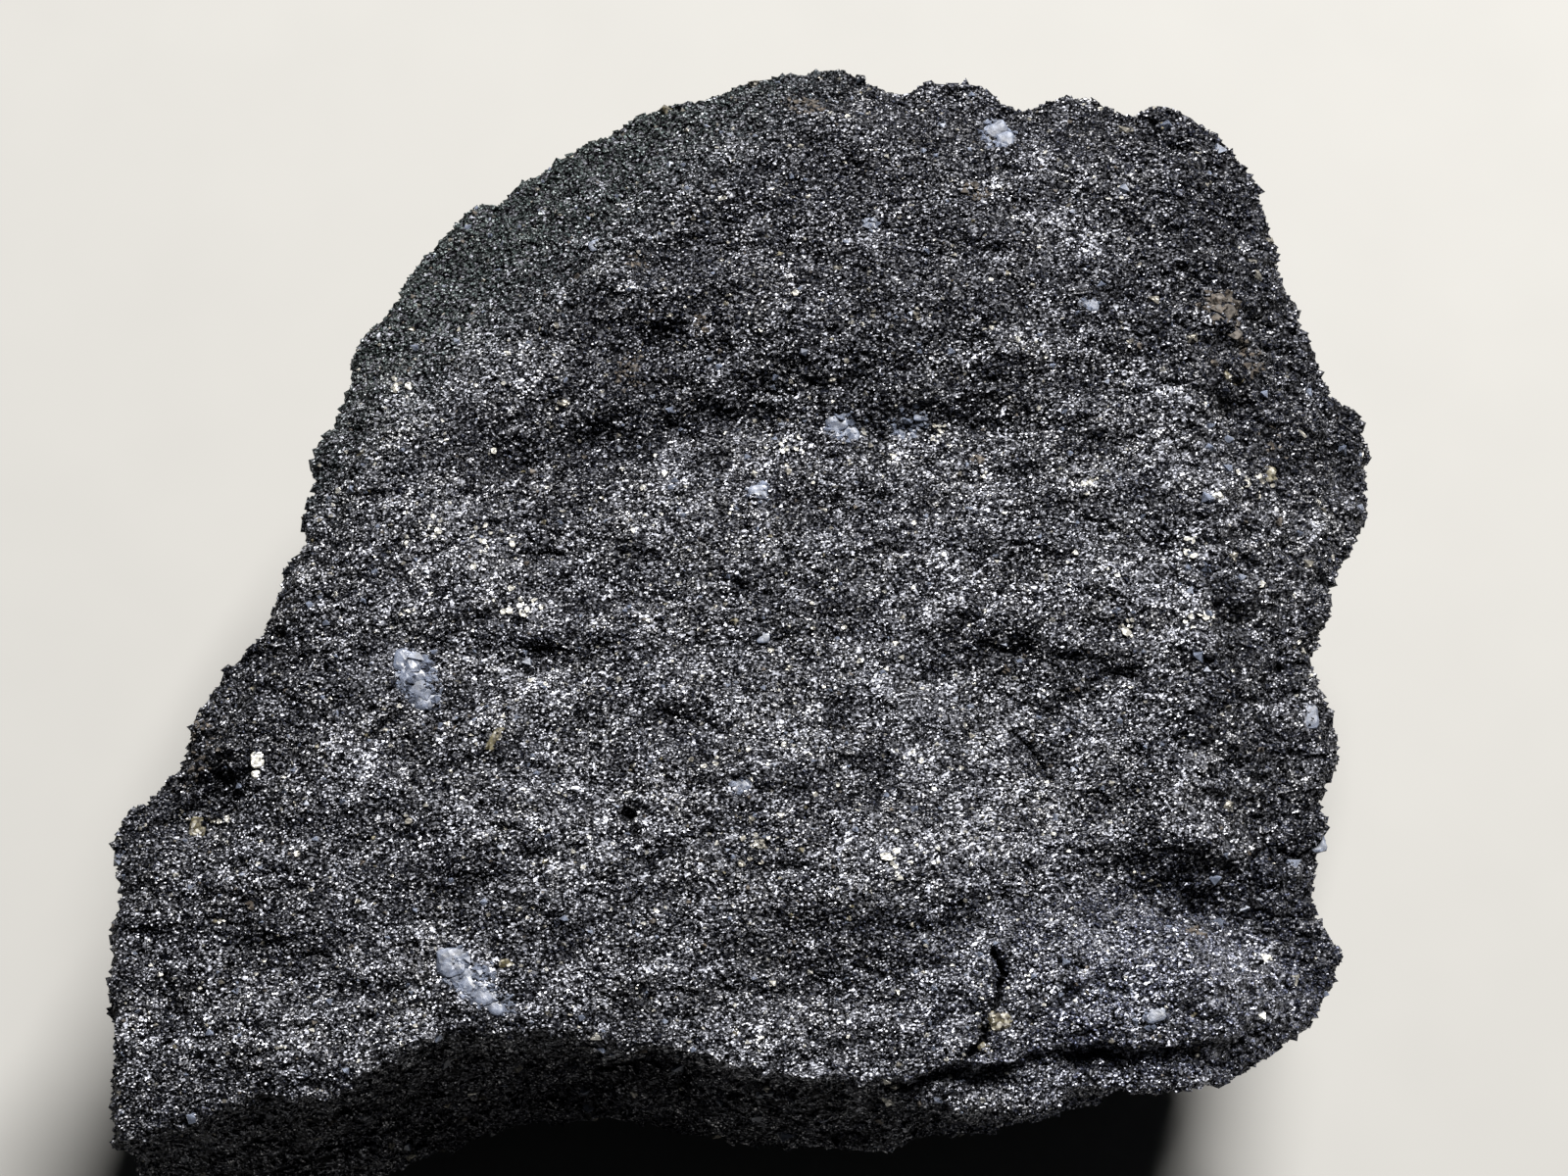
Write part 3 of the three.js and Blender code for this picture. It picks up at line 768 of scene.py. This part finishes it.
def gap_shaded_magnetite(colours):
    """The ore between and below the grains: the same oxide seen in pits where grains broke out, duller, and
    painted darker for the shade that falls in the deep gaps between the grains, with only a few parting faces
    that still flash."""
    material, tree, shader, pale, dull = new_material("gap_shaded_magnetite", "pale", "dull")
    cell = small_cells(tree, PIT_CELL, 1.3)[0]
    tone = cell_tone(tree, cell, pale, 3.0)[0]
    ore = add_node(tree, "ShaderNodeMix", COLOURS, _0=tone, _6=colours.pit_dark, _7=colours.pit_pale)
    rough = add_node(tree, "ShaderNodeMapRange", Value=dull, To_Min=0.4, To_Max=0.8).outputs[0]
    normal = facets(tree, cell, 1.0)
    connect(tree, shader, Base_Color=ore.outputs[2], Roughness=rough, Metallic=1.0, Normal=normal)
    return material


def grown_in_quartz(colours):
    """Quartz grown in the ore: clear bluish-grey glass, broken with curved glossy faces, milky inside."""
    material, tree, shader, dull = new_material("grown_in_quartz", "dull")
    cloud = cloudy_noise(tree, 0.7)
    cloud = add_node(tree, "ShaderNodeMapRange", Value=cloud, From_Min=0.35, From_Max=0.65).outputs[0]
    milk = add_node(tree, "ShaderNodeMix", COLOURS, _0=cloud, _6=colours.quartz_grey, _7=colours.quartz_milk)
    rough = add_node(tree, "ShaderNodeMapRange", Value=dull, To_Min=0.36, To_Max=0.6).outputs[0]
    relief = {"Strength": 1.0, "Distance": 0.03 * MM, "Height": cloudy_noise(tree, 0.35)}
    normal = add_node(tree, "ShaderNodeBump", **relief).outputs[0]
    connect(tree, shader, Base_Color=milk.outputs[2], Roughness=rough, IOR=1.545, Normal=normal)
    connect(tree, shader, Subsurface_Weight=0.6, Subsurface_Radius=(1, 1, 1), Subsurface_Scale=0.5 * MM)
    return material


def cleaved_silver_mica(colours):
    """Mica in thin cleaved plates: smooth silvery faces with a pearly flash, faintly yellow."""
    material, tree, shader, pale, dull = new_material("cleaved_silver_mica", "pale", "dull")
    plate = add_node(tree, "ShaderNodeMix", COLOURS, _0=pale, _6=colours.mica_shade, _7=colours.mica)
    rough = add_node(tree, "ShaderNodeMapRange", Value=dull, To_Min=0.3, To_Max=0.55).outputs[0]
    normal = facets(tree, small_cells(tree, ORE_CELL, 1.6)[0], 1.3)
    connect(tree, shader, Base_Color=plate.outputs[2], Roughness=rough, Metallic=0.5, Normal=normal)
    return material


def powdery_limonite_stain(colours):
    """Limonite stain on weathered grains: earthy brown and powdery, with small faces of the ore showing
    through darker."""
    material, tree, shader, pale, dull = new_material("powdery_limonite_stain", "pale", "dull")
    cell = small_cells(tree, STAIN_CELL, 1.2)[0]
    tone, other = cell_tone(tree, cell, pale, 1.4)
    rust = add_node(tree, "ShaderNodeMix", COLOURS, _0=other, _6=colours.stain, _7=colours.stain_pale)
    rust = add_node(tree, "ShaderNodeMix", COLOURS, _0=tone, _6=colours.stain_dark, _7=rust.outputs[2])
    rough = add_node(tree, "ShaderNodeMapRange", Value=dull, To_Min=0.5, To_Max=0.85).outputs[0]
    connect(tree, shader, Base_Color=rust.outputs[2], Roughness=rough, Normal=facets(tree, cell, 0.8))
    return material


def glassy_yellow_silicate(colours):
    """A yellow-green calc-silicate such as epidote: small glassy crystals in splintery faces, pale beige
    where they are bruised, with painted shade dark between the splinters."""
    material, tree, shader, pale = new_material("glassy_yellow_silicate", "pale")
    cell, off_middle = small_cells(tree, SILICATE_CELL, 1.0)
    tone, other = cell_tone(tree, cell, pale, 1.0)
    bruise = add_node(tree, "ShaderNodeMix", COLOURS, _0=tone, _6=colours.yellow, _7=colours.beige)
    # Painted shade between the splinters, in the dark stain colour.
    seam_shade = {"Value": off_middle, "From_Min": 0.35, "From_Max": 0.7, "To_Max": 0.8}
    seam_shade = add_node(tree, "ShaderNodeMapRange", **seam_shade).outputs[0]
    bruise = add_node(tree, "ShaderNodeMix", COLOURS, _0=seam_shade, _6=bruise.outputs[2], _7=colours.stain_dark)
    rough = add_node(tree, "ShaderNodeMapRange", Value=other, To_Min=0.2, To_Max=0.6).outputs[0]
    normal = facets(tree, cell, 0.9)
    connect(tree, shader, Base_Color=bruise.outputs[2], Roughness=rough, IOR=1.65, Normal=normal)
    return material


def rock_materials(context):
    """The materials of every piece, in the order of the minerals. They are made once."""
    makers = (
        broken_magnetite,
        grown_in_quartz,
        cleaved_silver_mica,
        powdery_limonite_stain,
        glassy_yellow_silicate,
    )
    colours = context.scene.magnetite_colours
    return [bpy.data.materials.get(make.__name__) or make(colours) for make in makers]


def rolled_matt_board(colour):
    """A painted studio board, rolled matt: pale and even, with the faint mottle of the roller."""
    material, tree, shader = new_material("rolled_matt_board")
    darker = [0.94 * part for part in colour]
    mottle = add_node(tree, "ShaderNodeMix", COLOURS, _0=cloudy_noise(tree, 12.0), _6=colour, _7=darker)
    connect(tree, shader, Base_Color=mottle.outputs[2], Roughness=0.85)
    return material


# What the user may change


class MagnetiteSizes(bpy.types.PropertyGroup):
    """Sizes and numbers of the skin's facets and of the grains."""

    face_edge: length_property("Face facet", "Longest edge of the skin's facets on the broad face", 0.66)
    wall_edge: length_property("Wall facet", "Longest edge of the skin's facets on the walls", 1.15)
    under_edge: length_property("Underside facet", "Longest edge of the skin's facets below", 1.7)
    crack_edge: length_property("Crack facet", "Longest edge of the skin's facets beside a crack", 0.26)
    face_grain: length_property("Face grain", "Middle width of the grains on the broad face", 0.45)
    slope_grain: length_property("Slope grain", "Middle width of the grains on the right slope", 0.85)
    wall_grain: length_property("Wall grain", "Middle width of the grains on the walls", 0.85)
    under_grain: length_property("Underside grain", "Middle width of the grains below", 1.3)
    face_grains: count_property("Face grains", "Grains in each of the three strips of the face", 24500)
    wall_grains: count_property("Wall grains", "Grains sown in each half of the walls", 15500)
    under_grains: count_property("Underside grains", "Grains sown below, less those too near the floor", 8000)
    loose_plates: count_property("Mica plates", "Single mica plates on the face", 450)
    plate: length_property("Mica plate", "Middle width of the mica plates", 0.44)


class MagnetiteColours(bpy.types.PropertyGroup):
    """Colours of the minerals."""

    ore_dark: colour_property("Ore, dark", "Darkest magnetite grains", "#0f1012")
    ore_pale: colour_property("Ore, pale", "Palest magnetite grains", "#f0f1f6")
    ore_warm: colour_property("Ore, warm", "Faintly yellow clouds in the magnetite", "#97917f")
    ore_blue: colour_property("Ore, blue", "Faintly violet clouds in the magnetite", "#747a96")
    # Painted shade: the dark of the gaps between the grains and between the parting faces.
    pit_dark: colour_property("Ore in pits", "Darkest ore, between the grains", "#0a0a0c")
    pit_pale: colour_property("Ore in pits, pale", "Parting faces between the grains", "#a9abb4")
    ore_green: colour_property("Ore, green", "Duller, greener ore at the upper left", "#5d6964")
    quartz_grey: colour_property("Quartz, clear", "Clear bluish-grey quartz", "#3b404c")
    quartz_milk: colour_property("Quartz, milky", "Milky quartz", "#636a7a")
    mica: colour_property("Mica", "Silvery mica plates", "#d8d6ce")
    mica_shade: colour_property("Mica, shaded", "Duller mica plates", "#67645d")
    stain: colour_property("Iron stain", "Brown limonite stain", "#4c433b")
    # Real dark limonite stain, and also the painted shade between the splinters of the yellow silicate.
    stain_dark: colour_property("Iron stain, dark", "Dark brown limonite stain", "#2c2722")
    stain_pale: colour_property("Iron stain, pale", "Beige limonite stain", "#5b534a")
    yellow: colour_property("Yellow silicate", "Yellow-green crystals", "#4f4a34")
    beige: colour_property("Beige silicate", "Bruised crystals", "#7a7566")


class MagnetiteStudio(bpy.types.PropertyGroup):
    """The floor and the light."""

    floor: colour_property("Floor", "Colour of the studio board", "#92918e")
    key_power: FloatProperty(
        name="Key light", description="Power of the soft light behind", default=42, min=0, unit="POWER"
    )
    key_width: length_property("Key width", "Width of the soft light behind", 420, 10)
    room: FloatProperty(
        name="Room light", description="Strength of the light from all round", default=0.012, min=0
    )


# Operators


class MAGNETITE_OT_skin(bpy.types.Operator):
    """Makes the skin: the CAD block's surface, cut finer, roughened along its broad normals by noise and by
    random facets, with the cracks and pits sunk into it"""

    bl_idname = "magnetite.skin"
    bl_label = "Ore skin"

    def execute(self, context):
        sizes = context.scene.magnetite_sizes
        points, faces = block_surface()
        normals = corner_normals(points, faces)

        def longest(middles, middle_normals):
            """The longest edge that is allowed at each place."""
            top, wall, under = region_shares(middle_normals)
            allowed = top * sizes.face_edge + wall * sizes.wall_edge + under * sizes.under_edge
            places = middles[:, :2] / MM
            for line, half_width, _ in CRACKS:
                near = (distance_to_line(places, line) < 2.5 * half_width) & (top > 0.5)
                allowed = np.where(near, sizes.crack_edge, allowed)
            return allowed

        for step in range(2):
            more = True
            while more:
                points, faces, normals, more = halve_long_edges(points, faces, normals, longest, 0.5)
            if step == 0:
                points[:, 1] -= ledge_shift(points)
                normals = corner_normals(points, faces)
        rng = np.random.default_rng(11)
        top, wall, under = region_shares(normals)
        slope = right_slope(points) * top
        push = (0.34 * streaks(points) + 0.4 * lattice_noise(points, (10, 6, 9), 15)) * (top - slope)
        # The clouds of painted light and shade also raise or sink the face's skin.
        push += 0.42 * clouds(points) * top
        low_wall = wall * ramp(-points[:, 2] / MM, -34, -24)
        for cell, seed, heights in RELIEF:
            height = sum(high * part for high, part in zip(heights, (top, slope, wall, under, low_wall)))
            push += lattice_noise(points, cell, seed) * height
        random = rng.uniform(-1, 1, (len(points), 3)) * (0.085 * top + 0.15 * wall + 0.2 * under)[:, None]
        points = points + (push[:, None] * normals + random) * MM
        points = points - hollow_depth(points, top)[:, None] * normals
        points[:, 2] = np.maximum(points[:, 2], 0)
        a, b, c = (points[faces[:, k]] for k in range(3))
        cross = np.cross(b - a, c - a)
        piece = new_mesh_piece(
            "ore_skin",
            points,
            faces,
            np.full(len(faces), MAGNETITE),
            ore_values(points, rng),
            skin_map(points, faces, unit(cross)),
            [gap_shaded_magnetite(context.scene.magnetite_colours)],
        )
        own = piece.data.attributes.new("broad_normal", "FLOAT_VECTOR", "POINT")
        own.data.foreach_set("vector", normals.astype(np.float32).ravel())
        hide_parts(NODE)
        return {"FINISHED"}


def grow_grains(context, name, count, weight, width, seed, of_wall):
    """Sets up to count crystals into the skin, as close as weight(middles, normals) says and about
    width(places) wide, each turned at random."""
    rng = np.random.default_rng(seed)
    points, faces, normals = skin()
    middles, face_normals = points[faces].mean(1), unit(normals[faces].sum(1))
    places, chosen = scattered(points, faces, weight(middles, face_normals), count, rng)
    outward = face_normals[chosen]
    wide = width(places) * np.exp(np.clip(rng.normal(0, 0.28, count), -0.6, 0.5))
    # A grain's middle lies up to about a quarter of its width below the skin.
    places = places + outward * (wide * rng.uniform(-0.26, 0.02, count))[:, None]
    # None may reach below the surface that the block stands on, not even one that is widened as quartz.
    above = places[:, 2] > 0.8 * wide
    places, outward, wide = places[above], outward[above], wide[above]
    kinds = minerals_at(places, outward[:, 2] > 0.3, rng)
    wide = wide * np.where(kinds == QUARTZ, 1.2, 1.0)
    tips, tip_faces = crystals(places, wide, random_turns(len(places), rng), rng)
    values = {label: np.repeat(numbers, len(TIPS)) for label, numbers in ore_values(places, rng).items()}
    kinds, grain_middles = np.repeat(kinds, len(TIP_FACES)), np.repeat(places, len(TIP_FACES), axis=0)
    map_places = grain_map(tips, tip_faces, grain_middles, of_wall)
    new_mesh_piece(name, tips, tip_faces, kinds, values, map_places, rock_materials(context))


class MAGNETITE_OT_face_grains(bpy.types.Operator):
    """Grows the grains of the broad face, in three strips from left to right"""

    bl_idname = "magnetite.face_grains"
    bl_label = "Face grains"

    def execute(self, context):
        sizes = context.scene.magnetite_sizes

        def width(places):
            """The grains are wider on the right slope."""
            slope = right_slope(places)
            return sizes.face_grain * (1 - slope) + sizes.slope_grain * slope

        strips = (("left", -60, -13, 21), ("middle", -13, 14, 22), ("right", 14, 60, 27))
        for name, start, end, seed in strips:

            def weight(middles, normals, start=start, end=end):
                """Grains lie on the face, in this strip, clear of the hollows, and closer where they are
                small."""
                top = region_shares(normals)[0]
                clear = hollow_depth(middles, top) < 0.25 * MM
                mine = (middles[:, 0] >= start * MM) & (middles[:, 0] < end * MM)
                return top * clear * mine / width(middles) ** 1.6

            grow_grains(context, f"face_grains_{name}", sizes.face_grains, weight, width, seed, False)
        return {"FINISHED"}


class MAGNETITE_OT_wall_grains(bpy.types.Operator):
    """Grows the coarser grains of the walls, in a back and a front half"""

    bl_idname = "magnetite.wall_grains"
    bl_label = "Wall grains"

    def execute(self, context):
        sizes = context.scene.magnetite_sizes
        for name, side, seed in (("wall_grains_back", 1, 23), ("wall_grains_front", -1, 24)):

            def weight(middles, normals, side=side):
                """Grains lie on the walls of this half."""
                return region_shares(normals)[1] * (middles[:, 1] * side > 0)

            grow_grains(context, name, sizes.wall_grains, weight, lambda places: sizes.wall_grain, seed, True)
        return {"FINISHED"}


class MAGNETITE_OT_under_grains(bpy.types.Operator):
    """Grows the grains of the underside, clear of the surface that the block stands on"""

    bl_idname = "magnetite.under_grains"
    bl_label = "Underside grains"

    def execute(self, context):
        sizes = context.scene.magnetite_sizes

        def weight(middles, normals):
            """Grains lie on the underside."""
            return region_shares(normals)[2]

        width = sizes.under_grain
        grow_grains(context, "underside_grains", sizes.under_grains, weight, lambda places: width, 25, False)
        return {"FINISHED"}


class MAGNETITE_OT_flakes(bpy.types.Operator):
    """Sets thin six-sided mica plates into the face, single ones at random and groups that catch the light"""

    bl_idname = "magnetite.flakes"
    bl_label = "Mica plates"

    def execute(self, context):
        sizes = context.scene.magnetite_sizes
        rng = np.random.default_rng(26)
        points, faces, normals = skin()
        middles, face_normals = points[faces].mean(1), unit(normals[faces].sum(1))
        top = region_shares(face_normals)[0]
        loose, chosen = scattered(points, faces, top, sizes.loose_plates, rng)
        facing = unit(face_normals[chosen] + rng.normal(0, 0.35, (len(loose), 3)))
        wide = sizes.plate * np.exp(rng.normal(-0.35, 0.3, len(loose)))
        upper = np.flatnonzero(top > 0.5)
        for x, y, reach, few in FLAKE_GROUPS:
            many = 2 * few
            wanted = np.array([x, y]) + rng.normal(0, reach, (many, 2))
            away = np.linalg.norm(middles[upper, None, :2] - wanted * MM, axis=2)
            nearest = upper[away.argmin(0)]
            # The plates of a group lie nearly one way, leaning back a little towards the light.
            lean = unit(np.array([0.08, 0.18, 0.97]) + rng.normal(0, 0.16, (many, 3)))
            loose = np.vstack([loose, middles[nearest]])
            facing = np.vstack([facing, lean])
            wide = np.append(wide, sizes.plate * np.exp(rng.normal(0.1, 0.25, many)))
        tips, tip_faces = mica_plates(loose, facing, wide, rng)
        values = {label: np.repeat(part, 2 * PLATE_SIDES) for label, part in ore_values(loose, rng).items()}
        kinds = np.full(len(tip_faces), MICA)
        map_places = grain_map(tips, tip_faces, np.repeat(loose, len(tip_faces) // len(loose), axis=0), False)
        new_mesh_piece("mica_plates", tips, tip_faces, kinds, values, map_places, rock_materials(context))
        return {"FINISHED"}


def mica_plates(middles, facing, widths, rng):
    """Closed six-sided plates: a ring of six points at about half the width from the middle, at sixth turns
    in the plane across facing, once on each side of the plate, a sixth of the width apart. The plate stands
    out by 0.16 of its width."""
    count = len(middles)
    side = unit(np.cross(facing, unit(rng.normal(size=(count, 3)))))
    other = np.cross(facing, side)
    turn = np.arange(PLATE_SIDES) * 2 * math.pi / PLATE_SIDES
    reach = widths[:, None] / 2 * rng.uniform(0.7, 1.25, (count, PLATE_SIDES))
    ring = (reach * np.cos(turn))[..., None] * side[:, None]
    ring = ring + (reach * np.sin(turn))[..., None] * other[:, None]
    half = (facing * widths[:, None] / 12)[:, None]
    lift = (facing * widths[:, None] * 0.16)[:, None]
    rings = np.concatenate([ring - half, ring + half], axis=1) + middles[:, None] + lift
    low = np.arange(PLATE_SIDES)
    after = (low + 1) % PLATE_SIDES
    high, high_after = low + PLATE_SIDES, after + PLATE_SIDES
    fan = np.arange(1, PLATE_SIDES - 1)
    walls = [np.stack([low, after, high_after], 1), np.stack([low, high_after, high], 1)]
    lid, foot = np.stack([0 * fan, fan, fan + 1], 1) + PLATE_SIDES, np.stack([0 * fan, fan + 1, fan], 1)
    faces = np.arange(count)[:, None, None] * 2 * PLATE_SIDES + np.vstack([*walls, lid, foot])
    return rings.reshape(-1, 3), faces.reshape(-1, 3)


def lumpy_solids(middles, halves, turns, boxy, rng):
    """Closed lumps: a sphere's grid of rings of points with a point at each pole. Its direction d is first
    made boxy by dividing it by the n-norm of its parts, n from 2 to 8, then stretched by the three half
    widths, dented by smooth noise and turned about Z."""
    rings, steps = LUMP_RINGS, LUMP_STEPS
    polar = (np.arange(1, rings + 1) / (rings + 1) * math.pi)[:, None]
    around = np.arange(steps) / steps * 2 * math.pi
    grid = [np.sin(polar) * np.cos(around), np.sin(polar) * np.sin(around), np.cos(polar) * np.ones(steps)]
    ball = np.vstack([np.stack(grid, 2).reshape(-1, 3), [(0, 0, 1), (0, 0, -1)]])
    power = (2 + 6 * boxy)[:, None]
    norm = (np.abs(ball)[None] ** power[..., None]).sum(2) ** (1 / power)
    places = ball[None] / norm[..., None] * halves[:, None]
    # Each lump is dented its own way.
    spots = (places + rng.uniform(-0.1, 0.1, (len(middles), 1, 3))).reshape(-1, 3)
    dent = 0.32 * lattice_noise(spots, (0.9, 0.9, 0.9), 51)
    dent += 0.12 * lattice_noise(spots, (0.32, 0.32, 0.32), 52)
    places = places * (1 + (1.1 - boxy)[:, None, None] * dent.reshape(len(middles), -1, 1))
    c, s = np.cos(turns)[:, None], np.sin(turns)[:, None]
    x, y, z = np.moveaxis(places, 2, 0)
    places = np.stack([x * c - y * s, x * s + y * c, z], 2) + middles[:, None]
    row, step = np.meshgrid(np.arange(rings - 1), np.arange(steps), indexing="ij")
    a = (row * steps + step).ravel()
    b = (row * steps + (step + 1) % steps).ravel()
    body = [np.stack([a, a + steps, b], 1), np.stack([b, a + steps, b + steps], 1)]
    first, after = np.arange(steps), (np.arange(steps) + 1) % steps
    last, pole = (rings - 1) * steps, rings * steps
    lid = np.stack([np.full(steps, pole), first, after], 1)
    foot = np.stack([np.full(steps, pole + 1), last + after, last + first], 1)
    shape_faces = np.vstack([*body, lid, foot])
    faces = np.arange(len(middles))[:, None, None] * len(ball) + shape_faces
    return places.reshape(-1, 3), faces.reshape(-1, 3), len(ball), len(shape_faces)


class MAGNETITE_OT_lumps(bpy.types.Operator):
    """Sets the glassy quartz lumps and the single pale blocks into the face"""

    bl_idname = "magnetite.lumps"
    bl_label = "Quartz and blocks"

    def execute(self, context):
        rng = np.random.default_rng(28)
        points, _, normals = skin()
        table = np.array(LUMPS, float)
        top = np.flatnonzero(normals[:, 2] > 0.3)
        away = np.linalg.norm(points[top, None, :2] - table[:, :2] * MM, axis=2)
        nearest = top[away.argmin(0)]
        middles = np.column_stack([table[:, :2] * MM, points[nearest, 2]])
        flat = np.isin(table[:, 5], (QUARTZ, STAIN))
        height = np.where(flat, 0.32, 0.5) * np.minimum(table[:, 2], table[:, 3])
        halves = np.column_stack([table[:, 2], table[:, 3], height]) * MM
        middles[:, 2] -= np.where(flat, 0.42, 0.1) * halves[:, 2]
        turns, boxy = np.radians(table[:, 4]), table[:, 6]
        tips, tip_faces, corners, triangles = lumpy_solids(middles, halves, turns, boxy, rng)
        values = ore_values(middles, rng)
        values["pale"][table[:, 5] == MICA] = 1
        values = {label: np.repeat(numbers, corners) for label, numbers in values.items()}
        kinds = np.repeat(table[:, 5].astype(int), triangles)
        map_places = grain_map(tips, tip_faces, np.repeat(middles, triangles, axis=0), False)
        materials = rock_materials(context)
        new_mesh_piece("quartz_and_blocks", tips, tip_faces, kinds, values, map_places, materials)
        return {"FINISHED"}


class MAGNETITE_OT_studio(bpy.types.Operator):
    """Lays the pale floor, hangs the soft light and sets up the camera at the photograph's angle"""

    bl_idname = "magnetite.studio"
    bl_label = "Studio"

    def execute(self, context):
        studio = context.scene.magnetite_studio
        mesh = bpy.data.meshes.new("studio_floor")
        corners = [(x * FLOOR_REACH, y * FLOOR_REACH, 0) for x, y in ((-1, -1), (1, -1), (1, 1), (-1, 1))]
        mesh.from_pydata(corners, [], [(0, 1, 2, 3)])
        mesh.materials.append(rolled_matt_board(studio.floor))
        floor = bpy.data.objects.new("studio_floor", mesh)
        context.scene.collection.objects.link(floor)
        lamp = bpy.data.lights.new("key_light", "AREA")
        lamp.size = studio.key_width
        lamp.energy = studio.key_power
        lamp.color = KEY_COLOUR
        light = bpy.data.objects.new("key_light", lamp)
        context.scene.collection.objects.link(light)
        light.location = KEY_PLACE
        light.rotation_euler = (Vector(BLOCK_MIDDLE) - light.location).to_track_quat("-Z", "Y").to_euler()
        world = bpy.data.worlds.new("studio_room")
        world.use_nodes = True
        room = world.node_tree.nodes["Background"]
        room.inputs["Color"].default_value = (*ROOM_COLOUR, 1.0)
        room.inputs["Strength"].default_value = studio.room
        context.scene.world = world
        context.scene.view_settings.view_transform = "Standard"
        lens = bpy.data.cameras.new("photo_camera")
        lens.sensor_width = SENSOR
        lens.lens = SENSOR * CAMERA_DISTANCE / SEEN_WIDTH
        camera = bpy.data.objects.new("photo_camera", lens)
        context.scene.collection.objects.link(camera)
        back = Vector((0, -math.cos(CAMERA_ELEVATION), math.sin(CAMERA_ELEVATION)))
        camera.location = Vector(LOOKED_AT) + back * CAMERA_DISTANCE
        camera.rotation_euler = (-back).to_track_quat("-Z", "Y").to_euler()
        context.scene.camera = camera
        return {"FINISHED"}


class MAGNETITE_PT_panel(bpy.types.Panel):
    """Lists the sizes, the colours and the steps"""

    bl_idname = "MAGNETITE_PT_panel"
    bl_label = "Magnetite specimen"
    bl_space_type = "VIEW_3D"
    bl_region_type = "UI"
    bl_category = "Magnetite"

    def draw(self, context):
        scene = context.scene
        for group in (scene.magnetite_sizes, scene.magnetite_colours, scene.magnetite_studio):
            box = self.layout.box()
            for name in group.bl_rna.properties.keys():
                if name not in ("rna_type", "name"):
                    box.prop(group, name)
        for operator in OPERATORS:
            self.layout.operator(operator.bl_idname)


OPERATORS = (
    MAGNETITE_OT_skin,
    MAGNETITE_OT_face_grains,
    MAGNETITE_OT_wall_grains,
    MAGNETITE_OT_under_grains,
    MAGNETITE_OT_flakes,
    MAGNETITE_OT_lumps,
    MAGNETITE_OT_studio,
)
CLASSES = (MagnetiteSizes, MagnetiteColours, MagnetiteStudio, *OPERATORS, MAGNETITE_PT_panel)


def register():
    """Registers the classes and hangs their values on the scene."""
    for cls in CLASSES:
        bpy.utils.register_class(cls)
    bpy.types.Scene.magnetite_sizes = PointerProperty(type=MagnetiteSizes)
    bpy.types.Scene.magnetite_colours = PointerProperty(type=MagnetiteColours)
    bpy.types.Scene.magnetite_studio = PointerProperty(type=MagnetiteStudio)


def unregister():
    """Takes away what register put in."""
    del bpy.types.Scene.magnetite_studio
    del bpy.types.Scene.magnetite_colours
    del bpy.types.Scene.magnetite_sizes
    for cls in reversed(CLASSES):
        bpy.utils.unregister_class(cls)


def main():
    """Makes every piece and the stage."""
    register()
    bpy.ops.magnetite.skin()
    bpy.ops.magnetite.face_grains()
    bpy.ops.magnetite.wall_grains()
    bpy.ops.magnetite.under_grains()
    bpy.ops.magnetite.flakes()
    bpy.ops.magnetite.lumps()
    bpy.ops.magnetite.studio()


if __name__ == "__main__":
    main()
